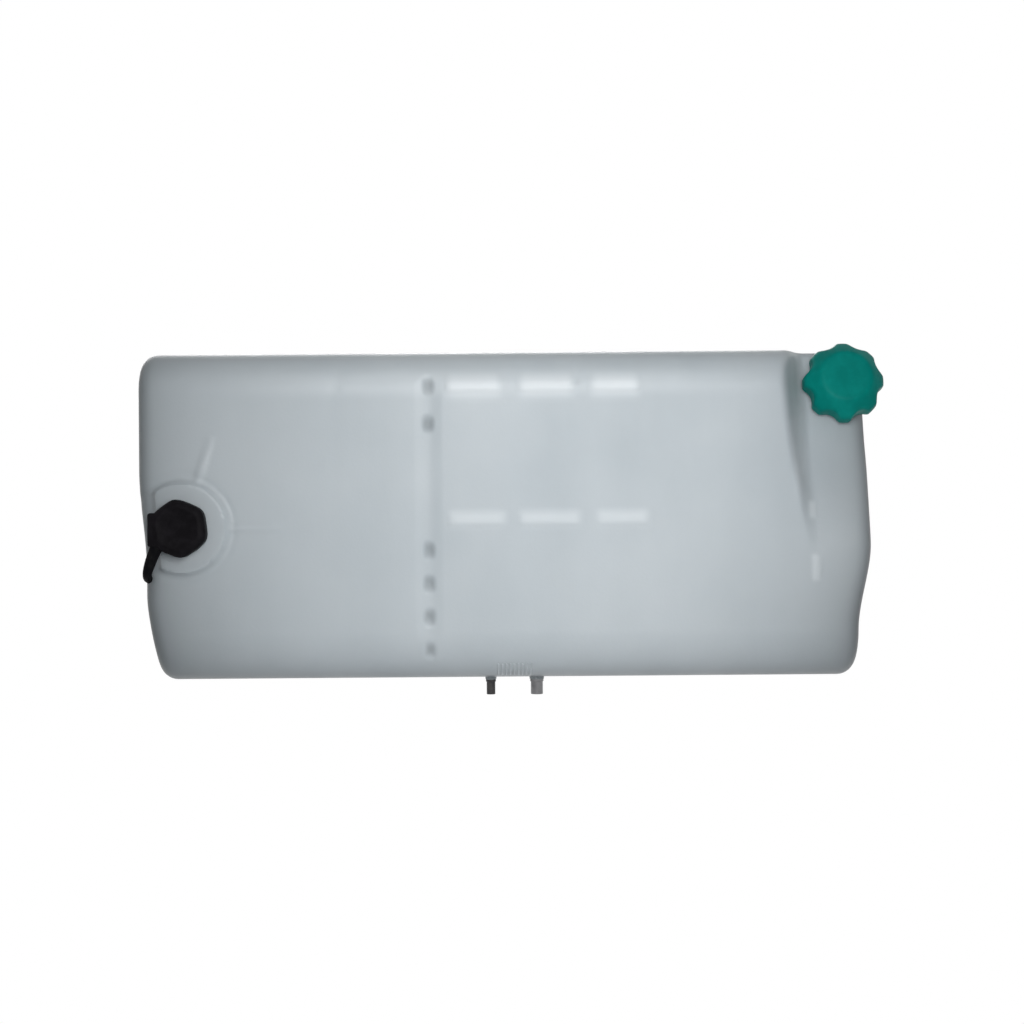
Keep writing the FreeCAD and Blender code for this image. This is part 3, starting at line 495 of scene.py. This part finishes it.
def frontDetail(t, x, z, base, face):
    # groove, bars, sensor boss with moat and ribs, creases
    away = np.clip(np.abs(x - t["grooveX"]), 0, t["grooveRadius"])
    sunk = np.sqrt(t["grooveRadius"] ** 2 - away ** 2) - t["grooveRadius"] + t["grooveDepth"]
    base = smoothMax(base, face + sunk, t["grooveSoftness"])
    base = base - t["barRaise"] * levelBars(t, x, z, t["barSoft"])
    dx, dz = x - t["bossX"], z - t["bossZ"]
    radius = np.hypot(dx, dz)
    reach = (t["bossRadius"] + t["ribLength"]) / 2
    for turn in t["ribTurns"]:
        c, s = math.cos(math.radians(turn)), math.sin(math.radians(turn))
        along, across = dx * c + dz * s, dz * c - dx * s
        height = t["ribRise"] * (1 - smoothStep(t["bossRadius"], reach * 2, along) * t["ribFade"])
        bar = pad(along, reach, reach, t["ribEndSoft"])
        base = base - height * bar * pad(across, 0, t["ribHalf"], t["ribSoft"])
    moat = (radius - t["bossRadius"] - t["moatOffset"]) / t["moatWidth"]
    base = base + t["moatDepth"] * np.exp(-moat ** 2)
    past = np.clip(radius - t["bossRadius"] + 1, 0, t["bossSlopeReach"])
    bossTop = face - t["bossRise"] + past * t["bossSlope"]
    toEnd = x + t["length"] / 2 - endDrop(-1, z)
    bossTop = bossTop + t["bossFall"] * (1 - smoothStep(*t["bossFallSpan"], toEnd))
    base = -smoothMax(-base, -bossTop, t["bossSoftness"])
    for cx, cz, half, lean in t["creases"]:
        away = (x - cx) - lean * (z - cz)
        dent = t["creaseDepth"] * np.exp(-(away / t["creaseWidth"]) ** 2)
        base = base + dent * pad(z, cz, half, t["creaseSoft"])
    return base


def tankFront(t, x, z, inset):
    # how far back the front skin lies at x, z
    face = -t["standoff"] - t["depth"]
    top, over, under = t["height"] / 2 - inset, t["topRadius"] - inset, t["bottomRadius"] - inset
    rise = np.clip(z - (top - over), 0, over)
    drop = np.clip(-(z + top - under), 0, under)
    base = face + inset + over - np.sqrt(over ** 2 - rise ** 2) + under - np.sqrt(under ** 2 - drop ** 2)
    if t["detail"]:
        base = frontDetail(t, x, z, base, face)
    base = base + t["kissDepth"] * kissMarks(t, x, z)
    # ramp pocket under the cap, which runs out in a steeper slope
    root = t["length"] / 2 - t["pocketWidth"]
    k = t["pocketBlend"]
    u = root - x
    lean = np.where(u > k, u, np.where(u < -k, 0, (u + k) ** 2 / (4 * k)))
    ramp = (z + t["rampFoot"]) * math.tan(math.radians(t["rampAngle"]))
    runOut = (z + t["slopeFoot"]) * math.tan(math.radians(t["slopeAngle"]))
    ramp = face + inset - smoothMax(-ramp, -runOut, t["slopeSoftness"])
    draft, slant = math.radians(t["pocketDraft"]), math.radians(t["rampAngle"])
    ramp = ramp - lean / math.tan(draft) / math.cos(slant)
    lip = np.clip(z - (top - t["rampTopRound"]), 0, t["rampTopRound"])
    ramp = ramp + t["rampTopRound"] - np.sqrt(t["rampTopRound"] ** 2 - lip ** 2)
    skin = smoothMax(base, ramp, t["edgeSoftness"])
    return skin - t["dashRaise"] * rampDashes(t, x, z) if t["detail"] else skin


def spaced(low, high, plain, zones):
    # grid lines, closer together inside the listed zones
    lines, at = [low], low
    while at < high - 1e-6:
        step = plain
        for start, end, fine in zones:
            if start - plain < at < end:
                step = min(step, fine)
        at = min(high, at + step)
        lines.append(at)
    return np.array(lines)


def endDrop(side, z):
    # how far an end leans in: a little below its middle, more towards the bottom
    inset, lean, start, stop, lowLean, lowStart, lowStop = tank["ends"][side]
    return inset + lean * smoothStep(-start, -stop, -z) + lowLean * smoothStep(-lowStart, -lowStop, -z)


ringSteps = {
    "endArc": 9, "over": 24, "under": 32, "rear": 14, "rearArc": 8, "side": 5,
    "leanFrom": 200, "closing": (0.8, 0.55, 0.3, 0.1, 0.0), "closingZ": 5.0,
}


def tankRings(t):
    # one closed ring round the tank for each step along its length
    s = ringSteps
    r = t["endRadius"]
    half = t["length"] / 2
    flatEnd = half - r
    columns = [(x, 0.0, False) for x in spaced(-flatEnd, flatEnd, t["plainX"], t["fineX"])]
    for i in range(1, s["endArc"] + 1):
        phi = math.pi / 2 * i / s["endArc"]
        out, inset = r * math.sin(phi), r * (1 - math.cos(phi))
        columns.append((flatEnd + out, inset, True))
        columns.insert(0, (-flatEnd - out, inset, True))
    overLines = np.radians(np.linspace(90, 0, s["over"]))
    underLines = np.radians(np.linspace(0, 90, s["under"]))
    flatTop = t["height"] / 2 - t["topRadius"]
    flatBottom = t["bottomRadius"] - t["height"] / 2
    frontLines = spaced(flatBottom, flatTop, t["plainZ"], t["fineZ"])[::-1]
    rearFlat = t["height"] / 2 - t["rearRadius"]
    rearLines = np.linspace(-rearFlat, rearFlat, s["rear"])
    seam = -t["standoff"] - t["rearRadius"]
    back = np.linspace(0, 1, s["side"])[1:-1]
    turn = np.radians(np.linspace(-90, 0, s["rearArc"]))
    rings = []
    for column, inset, onArc in columns:
        over, under, rear = t["topRadius"] - inset, t["bottomRadius"] - inset, t["rearRadius"] - inset
        z = np.concatenate([
            flatTop + over * np.sin(overLines), frontLines[1:-1], flatBottom - under * np.sin(underLines)])
        way = -1 if column < 0 else 1
        share = 1 if onArc else float(smoothStep(s["leanFrom"], flatEnd, np.abs(column)))
        y = tankFront(t, column - way * share * endDrop(way, z), z, inset)
        edge = t["height"] / 2 - inset
        lowY, lowZ = seam + rear * np.cos(turn), -rearFlat + rear * np.sin(turn)
        rearY = np.full(rearLines.shape, -t["standoff"] - inset)
        allY = np.concatenate([
            y, y[-1] + (seam - y[-1]) * back, lowY, rearY[1:-1], lowY[::-1], seam + (y[0] - seam) * back])
        allZ = np.concatenate([
            z, np.full(back.shape, -edge), lowZ, rearLines[1:-1], -lowZ[::-1], np.full(back.shape, edge)])
        rings.append(np.stack([column - way * share * endDrop(way, allZ), allY, allZ], axis=1))
    # close the two ends towards their middles
    middle = np.array([0, -t["standoff"] - t["depth"] / 2, s["closingZ"]])
    for side, edge in ((-1, rings[0]), (1, rings[-1])):
        for share in s["closing"]:
            ring = middle + (edge - middle) * share
            ring[:, 0] = side * (half - endDrop(side, ring[:, 2]))
            if side < 0:
                rings.insert(0, ring)
            else:
                rings.append(ring)
    return rings


shading = {
    # strength and reach of the painted shade along each edge
    "end": (0.82, 8), "top": (0.15, 4), "bottom": (0.5, 5),
    # the same for the wide painted shade: left end, right end, bottom and lower ends
    "wideLeft": 0.42, "wideRight": 0.36, "wideEnd": 75, "wideBottom": (0.08, 35),
    "lowEnd": (0.25, 60), "lowSpan": (-20, 110),
    # strength, fade and spread of the painted highlights on the upper and lower bars, where they part, and
    # the painted highlight on the dashes
    "upperBars": (0.95, 14, 3), "lowerBars": (0.5, 10, 1), "barsPart": 50, "dashes": 0.5,
    # painted highlight band along the top rounding: strength, then its place in height and along the tank
    "band": 0.28, "bandZ": (111, 9, 12), "bandX": (-10, 190, 140),
    # painted light on the pocket wall: strength, its place beside the wall's root and the height over which
    # it grows
    "wall": 0.45, "wallX": (-6, 6, 8), "wallSpan": (0, 50),
}


def paintedShade(x, z):
    # painted shade along the outline, where the skin turns away, and towards the ends
    s = shading

    def fade(edge, distance):
        strength, reach = s[edge]
        return np.exp(-distance / reach) * strength

    side = np.where(x < 0, endDrop(-1, z), endDrop(1, z))
    toEnd = np.clip(tank["length"] / 2 - side - np.abs(x), 0, None)
    toTop = np.clip(tank["height"] / 2 - z, 0, None)
    toBottom = np.clip(z + tank["height"] / 2, 0, None)
    near = np.maximum.reduce([fade("end", toEnd), fade("top", toTop), fade("bottom", toBottom)])
    broad = np.where(x < 0, s["wideLeft"], s["wideRight"]) * np.exp(-toEnd / s["wideEnd"])
    broad = broad + fade("wideBottom", toBottom)
    broad = broad + fade("lowEnd", toEnd) * smoothStep(*s["lowSpan"], -z)
    return np.clip(near + broad * (1 - near), 0, 1)


def paintedLight(x, z):
    # painted highlights on the level bars, the ramp dashes and the top rounding, and painted light on the
    # pocket wall
    s = shading

    def bars(row):
        strength, soft, spread = s[row]
        return levelBars(tank, x, z, soft, spread) * strength

    root = tank["length"] / 2 - tank["pocketWidth"]
    offset, half, soft = s["wallX"]
    upper = bars("upperBars") * (z > s["barsPart"])
    lower = bars("lowerBars") * (z <= s["barsPart"])
    band = s["band"] * pad(z, *s["bandZ"]) * pad(x, *s["bandX"])
    wall = s["wall"] * pad(x, root + offset, half, soft) * smoothStep(*s["wallSpan"], z)
    return np.maximum.reduce([upper, lower, band, wall, rampDashes(tank, x, z) * s["dashes"]])


def tankSkin(t, name):
    mesh = gridMesh(name, [[tuple(p * mm) for p in ring] for ring in tankRings(t)])
    tidyMesh(mesh)
    return mesh


capSizes = {
    "footX": 291, "footZ": 108, "lobes": 8, "radius": 34.9, "valley": 30, "scallop": 12, "clear": 8,
    "steps": 288, "lobeSoftness": 3.2, "lobeTurn": 22.5, "lobedFrom": 20, "lipBelow": 8, "blend": 2.4,
    "outer": ((0, 31.1), (8, 31.15), (14, 31.3), (18, 31.4), (20.4, 31.2), (21.8, 30.7), (23, 29.9),
              (25, 28), (27, 26), (29, 24), (31, 21.9), (32.6, 20), (33.8, 18), (34.5, 15.8), (34.9, 13),
              (34.9, 8.4), (34.7, 6.6), (34.1, 5.5), (33, 5)),
    "inner": ((28.4, 5), (28, 5.6), (28, 19.4), (21.1, 19.4), (21.1, 5.4), (20.7, 5), (18.9, 5),
              (18.5, 5.4), (18.5, 26.9), (4, 26.9), (4, 23.7), (4.9, 23.7), (4, 21.3), (0, 21.3)),
}


def capAxis():
    # the cap's foot on the ramp, with the axis square to it
    rampAngle = math.radians(tank["rampAngle"])
    rise = capSizes["footZ"] + tank["rampFoot"]
    face = -tank["standoff"] - tank["depth"]
    foot = Vector((capSizes["footX"], face + rise * math.tan(rampAngle), capSizes["footZ"]))
    tilt = math.radians(90 - tank["rampAngle"])
    return Matrix.Translation(foot * mm) @ Matrix.Rotation(tilt, 4, "X")


capFrame = capAxis()

leadSizes = {
    "radius": 3.5, "channel": 3.8, "wayX": -307.381, "wayZ": -52,
    "nest": 6.8, "hood": 9.8, "nestOver": 6, "nestDepth": 34.3, "hoodWall": 3,
    "path": ((-285, -144, -18), (-290, -144, -29), (-293.5, -144, -38), (-296.5, -142, -47),
             (-299, -127, -51.5), (-300, -110, -52), (-303, -74, -52), (-307.381, -47, -52),
             (-307.381, -33, -52)),
    "swell": (1.6, 1.45, 1.3, 1.1, 1, 1, 1, 1, 1),
}


def leadTube(radius, swell):
    # tube along the lead's path, thicker at the gland if it swells
    s = leadSizes
    curve = bpy.data.curves.new("leadCurve", "CURVE")
    curve.dimensions = "3D"
    spline = curve.splines.new("NURBS")
    spline.points.add(len(s["path"]) - 1)
    for point, at, wide in zip(spline.points, s["path"], s["swell"]):
        point.co = (*(Vector(at) * mm), 1)
        point.radius = wide if swell else 1
    spline.order_u = 4
    spline.use_endpoint_u = True
    spline.resolution_u = 10
    curve.bevel_depth = radius * mm
    curve.bevel_resolution = 5
    curve.use_fill_caps = True
    holder = looseObject("leadCurve", curve)
    mesh = bakedMesh(holder, "sensorLead")
    bpy.data.objects.remove(holder)
    tidyMesh(mesh)
    mesh.materials.clear()
    return mesh


bossSizes = {
    "neck": ((0, -7), (20, -7), (19.2, 0), (17.6, 1), (16.8, 2.2), (16.5, 3.5), (16.5, 21.2), (15.9, 22),
             (0, 22)),
    "neckBore": ((0, -34), (13.5, -34), (13.5, 21.4), (14.1, 22.1), (14.1, 30), (0, 30)), "neckSteps": 96,
    "spots": ((-220, -85), (-220, 85), (220, -85), (220, 85)),
    "rearBoss": ((0, 0), (13, 0), (13.7, 0.3), (14, 1), (14, 8), (14.8, 9.4), (16, 10.2), (16, 12.5),
                 (0, 12.5)),
    "insertBore": ((0, -2), (6, -2), (6, 11), (0, 11)), "insertSteps": 48, "bossSteps": 64,
    "nipples": ((-13, 3.75), (27, 5.25)), "nippleBack": -69, "nippleLevel": -145,
    # seat round each nipple: distance from its tube and height
    "seat": ((0.7, 2), (1, 2.4), (1.2, 4.4), (2.4, 6), (2.4, 8)),
    # front limit of the painted marks, and strength of the painted shade in the dimples
    "frontBefore": -60, "kissShade": 0.4,
}


def towardsFront(x, z):
    # frame on the rear plane whose axis points to the front
    return Matrix.Translation(Vector((x, 0, z)) * mm) @ Matrix.Rotation(math.radians(90), 4, "X")


def buildTank():
    # neck, bosses and nipple seats join the skin, then the hollow, bores and lead channel are cut
    b = bossSizes
    added = [turnedSolid(b["neck"], b["neckSteps"], capFrame)]
    cuts = [turnedSolid(b["neckBore"], b["neckSteps"], capFrame)]
    for x, z in b["spots"]:
        added.append(turnedSolid(b["rearBoss"], b["bossSteps"], towardsFront(x, z)))
        cuts.append(turnedSolid(b["insertBore"], b["insertSteps"], towardsFront(x, z)))
    for x, radius in b["nipples"]:
        stand = Matrix.Translation(Vector((x, b["nippleBack"], b["nippleLevel"])) * mm)
        rim = [(radius + away, height) for away, height in b["seat"]]
        profile = [(0, rim[0][1]), *rim, (0, rim[-1][1])]
        added.append(turnedSolid(profile, b["bossSteps"], stand))
    s = leadSizes

    def nestSolid(radius, depth):
        profile = [(0, -s["nestOver"]), (radius, -s["nestOver"]), (radius, depth), (0, depth)]
        return turnedSolid(profile, b["bossSteps"], towardsFront(s["wayX"], s["wayZ"]))

    hood = nestSolid(s["hood"], s["nestDepth"] + s["hoodWall"])
    cuts.append(nestSolid(s["nest"], s["nestDepth"]))
    cuts.append(leadTube(s["channel"], False))
    cuts.append(carved(tankSkin(cavity, "hollow"), [hood], "DIFFERENCE"))
    mesh = carved(tankSkin(tank, "tankShell"), added, "UNION")
    mesh = carved(mesh, cuts, "DIFFERENCE")
    tidyMesh(mesh, 2e-6)
    smoothShade(mesh, 40)
    co = np.empty(len(mesh.vertices) * 3)
    mesh.vertices.foreach_get("co", co)
    co = co.reshape(-1, 3) / mm
    x, front, z = co[:, 0], co[:, 1] < b["frontBefore"], co[:, 2]
    # painted shade along the outline and ends, plus painted shade in the kiss-off dimples on the front
    shade = np.maximum(paintedShade(x, z), b["kissShade"] * kissMarks(tank, x, z) * front)
    for label, values in (("paintedShade", shade), ("paintedHighlight", paintedLight(x, z) * front)):
        layer = mesh.attributes.new(label, "FLOAT", "POINT")
        layer.data.foreach_set("value", values.astype(np.float32))
    mesh.materials.append(finishes["milky_plastic"])
    print("tank skin faces:", len(mesh.polygons))
    addObject("tankShell", mesh, "tank", ("tank_body",))


buildTank()


def lobeRadius(turn):
    # scalloped outline, softly rounded between lobe and valley
    c = capSizes
    pitch = 2 * math.pi / c["lobes"]
    off = (turn + math.radians(c["lobeTurn"]) + pitch / 2) % pitch - pitch / 2
    centre = c["valley"] + c["scallop"]
    inside = c["scallop"] ** 2 - (centre * math.sin(off)) ** 2
    scoop = centre * math.cos(off) - math.sqrt(max(inside, 0))
    scoop = scoop if inside > 0 else c["radius"] + c["clear"]
    return float(-smoothMax(np.array(-scoop), np.array(-c["radius"]), c["lobeSoftness"]))


def buildCap():
    c = capSizes
    turns = [2 * math.pi * i / c["steps"] for i in range(c["steps"])]
    rows = []
    for index, (radius, height) in enumerate(c["outer"] + c["inner"]):
        lobed = index < len(c["outer"]) and radius > c["lobedFrom"]
        row = []
        for turn in turns:
            r = radius
            if lobed:
                edge = lobeRadius(turn) - (c["radius"] - radius if height < c["lipBelow"] else 0)
                r = float(-smoothMax(np.array(-radius), np.array(-edge), c["blend"]))
            row.append(capFrame @ ringPoint(r, turn, height))
        rows.append(row)
    mesh = gridMesh("screwCap", rows)
    tidyMesh(mesh, 2e-6)
    smoothShade(mesh, 45)
    mesh.materials.append(finishes["teal_plastic"])
    addObject("screwCap", mesh, "cap", ("cap_shell",))


buildCap()


def coiled(name, turns, rise, radius, wire, finish):
    # round wire wound up the cap's axis from its foot
    def wind(tree, given):
        path = tree.nodes.new("GeometryNodeCurveSpiral")
        path.inputs["Resolution"].default_value = 40
        section = tree.nodes.new("GeometryNodeCurvePrimitiveCircle")
        section.inputs["Resolution"].default_value = 10
        sweep = tree.nodes.new("GeometryNodeCurveToMesh")
        sweep.inputs["Fill Caps"].default_value = True
        tree.links.new(given["Turns"], path.inputs["Rotations"])
        tree.links.new(given["Rise"], path.inputs["Height"])
        for label in ("Start Radius", "End Radius"):
            tree.links.new(given["Radius"], path.inputs[label])
        tree.links.new(given["Wire"], section.inputs["Radius"])
        tree.links.new(path.outputs["Curve"], sweep.inputs["Curve"])
        tree.links.new(section.outputs["Curve"], sweep.inputs["Profile Curve"])
        return sweep.outputs["Mesh"]

    return grown(name, [
        ("Turns", "NodeSocketFloat", turns), ("Rise", "NodeSocketFloat", rise * mm),
        ("Radius", "NodeSocketFloat", radius * mm), ("Wire", "NodeSocketFloat", wire * mm),
        ("Material", "NodeSocketMaterial", finishes[finish]),
    ], wind)


def standOnAxis(mesh, height):
    mesh.transform(capFrame @ Matrix.Translation((0, 0, height * mm)))
    tidyMesh(mesh)
    smoothShade(mesh, 50)


threadSizes = {"turns": 2.5, "pitch": 6.04, "start": 3.8, "radius": 16.3, "ridge": 1.4}


def buildThread():
    # screw ridge round the filler neck
    s = threadSizes
    rise = s["turns"] * s["pitch"]
    mesh = coiled("neckThread", s["turns"], rise, s["radius"], s["ridge"], "milky_plastic")
    standOnAxis(mesh, s["start"])
    addObject("neckThread", mesh, "tank")


springSizes = (
    # piece, node, body, joint, coils, coil radius, wire radius,
    # low seat, high seat, the pressed end's travel, pressed from below
    ("pressureCoil", "pressure_spring", "cap_insert", "pressure_valve", 4.5, 7.8, 0.9, 8.4, 23.9, 3, True),
    ("vacuumCoil", "vacuum_spring", "valve_plate", "vacuum_relief", 3.5, 2.3, 0.3, 8.4, 13.7, 2, False),
)


def buildSprings():
    # valve springs, each carried by the body named in its row
    for name, node, body, joint, coils, radius, wire, low, high, travel, fromBelow in springSizes:
        mesh = coiled(name, coils, high - low - 2 * wire, radius, wire, "steel")
        standOnAxis(mesh, low + wire)
        spring = addObject(name, mesh, body, (node,))
        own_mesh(spring)


hatchSizes = {"count": 9, "pitch": 3.4, "first": -6, "rib": 0.7, "bend": 42, "from": 222, "sweep": 25}


def buildHatch():
    # fine upright ribs on the bottom rounding, between the nipples
    s = hatchSizes

    def ribs(tree, given):
        path = tree.nodes.new("GeometryNodeCurveArc")
        path.inputs["Resolution"].default_value = 14
        path.inputs["Start Angle"].default_value = math.radians(s["from"])
        path.inputs["Sweep Angle"].default_value = math.radians(s["sweep"])
        section = tree.nodes.new("GeometryNodeCurvePrimitiveCircle")
        section.inputs["Resolution"].default_value = 8
        sweep = tree.nodes.new("GeometryNodeCurveToMesh")
        sweep.inputs["Fill Caps"].default_value = True
        upright = tree.nodes.new("GeometryNodeTransform")
        upright.inputs["Rotation"].default_value = (math.pi / 2, 0, math.pi / 2)
        row = tree.nodes.new("GeometryNodeMeshLine")
        spread = tree.nodes.new("ShaderNodeCombineXYZ")
        copies = tree.nodes.new("GeometryNodeInstanceOnPoints")
        tree.links.new(given["Bend"], path.inputs["Radius"])
        tree.links.new(given["Rib"], section.inputs["Radius"])
        tree.links.new(path.outputs["Curve"], sweep.inputs["Curve"])
        tree.links.new(section.outputs["Curve"], sweep.inputs["Profile Curve"])
        tree.links.new(sweep.outputs["Mesh"], upright.inputs["Geometry"])
        tree.links.new(given["Count"], row.inputs["Count"])
        tree.links.new(given["Pitch"], spread.inputs["X"])
        tree.links.new(spread.outputs["Vector"], row.inputs["Offset"])
        tree.links.new(row.outputs["Mesh"], copies.inputs["Points"])
        tree.links.new(upright.outputs["Geometry"], copies.inputs["Instance"])
        return copies.outputs["Instances"]

    mesh = grown("edgeHatch", [
        ("Count", "NodeSocketInt", s["count"]), ("Pitch", "NodeSocketFloat", s["pitch"] * mm),
        ("Bend", "NodeSocketFloat", s["bend"] * mm), ("Rib", "NodeSocketFloat", s["rib"] * mm),
        ("Material", "NodeSocketMaterial", finishes["milky_plastic"]),
    ], ribs)
    back = -tank["standoff"] - tank["depth"] + tank["bottomRadius"]
    low = tank["bottomRadius"] - tank["height"] / 2
    mesh.transform(Matrix.Translation(Vector((s["first"], back, low)) * mm))
    tidyMesh(mesh)
    smoothShade(mesh, 50)
    addObject("edgeHatch", mesh, "tank")


buildThread()
buildSprings()
buildHatch()
print("neck thread, valve springs and hatch ready")


sensorSizes = {
    "place": (-267, -134, -11), "headShift": (-2.5, 2), "sides": 6, "sharpness": 9, "flatTurn": 7,
    "steps": 144,
    "profile": ((0, 2), (20.5, 2), (22, 2.5), (22.5, 3.5), (22.6, 12.5), (22.2, 14.2), (21.2, 15.6),
                (19.4, 16.8), (17.4, 17.4), (16.4, 17.4), (15.6, 17), (8, 17), (0, 17)),
    "shank": ((0, 3), (13.2, 3), (13.2, -20), (9, -20), (9, -36), (0, -36)), "shankSteps": 64,
    # low corner, high corner and edge softness
    "block": ((-27.5, -13, 4), (0, 15, 16), 2.2),
    "prongs": (((-6.5, -5, -49), (-3.5, 5, -35), 0.5), ((3.5, -5, -49), (6.5, 5, -35), 0.5)),
}


def buildSensor():
    # six-sided head with softened corners, its side block, shank, stem and fork
    s = sensorSizes
    out = Matrix.Translation(Vector(s["place"]) * mm) @ Matrix.Rotation(math.radians(90), 4, "X")
    shiftX, shiftZ = s["headShift"]
    flats = [math.radians(360 / s["sides"] * k + s["flatTurn"]) for k in range(s["sides"])]
    rows = []
    for radius, height in s["profile"]:
        row = []
        for i in range(s["steps"]):
            turn = 2 * math.pi * i / s["steps"]
            facing = [max(math.cos(turn - flat), 0) for flat in flats]
            wide = sum(c ** s["sharpness"] for c in facing) ** (-1 / s["sharpness"])
            across, up = radius * wide * math.cos(turn), radius * wide * math.sin(turn)
            row.append(out @ (Vector((across + shiftX, up + shiftZ, height)) * mm))
        rows.append(row)
    mesh = gridMesh("sensorHousing", rows)
    tidyMesh(mesh)
    added = [brick(*s["block"], out), turnedSolid(s["shank"], s["shankSteps"], out)]
    added += [brick(*prong, out) for prong in s["prongs"]]
    mesh = carved(mesh, added, "UNION")
    tidyMesh(mesh)
    smoothShade(mesh, 40)
    mesh.materials.append(finishes["black_plastic"])
    addObject("sensorHousing", mesh, "tank", ("sensor_body",))


buildSensor()


softPieces = (
    # node, piece, slot, edge width
    ("lead_plug", "leadPlug", "black_plastic", 0.5),
    ("mounting_inserts", "mountingBushes", "brass", 0.4),
    ("vent_nipple", "ventNipple", "dark_steel", 0.4),
    ("makeup_nipple", "makeupNipple", "steel", 0.4),
)
for node, pieceName, slot, width in softPieces:
    softMesh = softened(node, width)
    softMesh.materials.append(finishes[slot])
    addObject(pieceName, softMesh, "tank", (node,))


def buildLead():
    mesh = leadTube(leadSizes["radius"], True)
    smoothShade(mesh, 50)
    mesh.materials.append(finishes["lead_rubber"])
    addObject("sensorLead", mesh, "tank", ("sensor_lead",))


buildLead()
print("pieces built")


def litWhite(tree, shader, output):
    # white for what the eye and reflections see, a plain shader for the light
    path = addNode(tree, "ShaderNodeLightPath")
    seen = path.outputs["Is Camera Ray"]
    for label in ("Is Glossy Ray", "Is Transmission Ray"):
        either = addNode(tree, "ShaderNodeMath", operation="MAXIMUM")
        tree.links.new(seen, either.inputs[0])
        tree.links.new(path.outputs[label], either.inputs[1])
        seen = either.outputs[0]
    onSurface = output.type == "OUTPUT_MATERIAL"
    white = addNode(tree, "ShaderNodeEmission" if onSurface else "ShaderNodeBackground")
    white.inputs["Strength"].default_value = 1
    white.inputs["Color"].default_value = (1, 1, 1, 1)
    choose = addNode(tree, "ShaderNodeMixShader")
    tree.links.new(seen, choose.inputs[0])
    tree.links.new(shader.outputs[0], choose.inputs[1])
    tree.links.new(white.outputs[0], choose.inputs[2])
    tree.links.new(choose.outputs[0], output.inputs["Surface"])


def buildStage():
    stage = {
        "floorLevel": -0.34, "floorSize": 6, "floorColour": (0.75, 0.76, 0.77, 1), "floorRough": 0.9,
        "sky": (0.95, 0.98, 1, 1), "ambient": 0.15,
    }
    mesh = bpy.data.meshes.new("paleFloor")
    half, level = stage["floorSize"] / 2, stage["floorLevel"]
    corners = ((-half, -half), (half, -half), (half, half), (-half, half))
    mesh.from_pydata([(x, y, level) for x, y in corners], [], [(0, 1, 2, 3)])
    floor = looseObject("paleFloor", mesh)
    material = bpy.data.materials.new("floorPaper")
    material.use_nodes = True
    tree = material.node_tree
    shader = tree.nodes["Principled BSDF"]
    shader.inputs["Base Color"].default_value = stage["floorColour"]
    shader.inputs["Roughness"].default_value = stage["floorRough"]
    litWhite(tree, shader, tree.nodes["Material Output"])
    mesh.materials.append(material)
    world = bpy.data.worlds.new("studio")
    world.use_nodes = True
    scene.world = world
    tree = world.node_tree
    sky = tree.nodes["Background"]
    sky.inputs["Color"].default_value = stage["sky"]
    sky.inputs["Strength"].default_value = stage["ambient"]
    litWhite(tree, sky, tree.nodes["World Output"])


def addLamp(name, place, aim, width, height, power):
    data = bpy.data.lights.new(name, "AREA")
    data.shape = "RECTANGLE"
    data.size, data.size_y = width, height
    data.energy = power
    lamp = looseObject(name, data)
    lamp.location = place
    lamp.rotation_mode = "QUATERNION"
    lamp.rotation_quaternion = (Vector(aim) - Vector(place)).to_track_quat("-Z", "Y")


def buildCamera():
    view = {"place": (0.0065, -1.525, 0.0026), "focal": 58.7, "sensor": 36, "roll": 0.45, "clip": (0.01, 50)}
    data = bpy.data.cameras.new("photoView")
    data.lens = view["focal"]
    data.sensor_width = view["sensor"]
    data.clip_start, data.clip_end = view["clip"]
    camera = looseObject("photoView", data)
    camera.location = view["place"]
    roll = Matrix.Rotation(math.radians(-view["roll"]), 4, "Z")
    camera.rotation_euler = (Matrix.Rotation(math.radians(90), 4, "X") @ roll).to_euler()
    scene.camera = camera


buildStage()
addLamp("frontKey", (0.1, -0.9, 0.15), (0.08, -0.1, 0.02), 0.5, 0.4, 4.4)
addLamp("highFill", (0.2, -1.2, 1.3), (0.02, -0.07, 0.0), 1.4, 0.8, 1.4)
addLamp("rearFill", (-0.3, 1.6, 0.7), (0, 0, 0), 1.6, 1.2, 16)
buildCamera()
scene.view_settings.view_transform = "Standard"

print("scene ready")
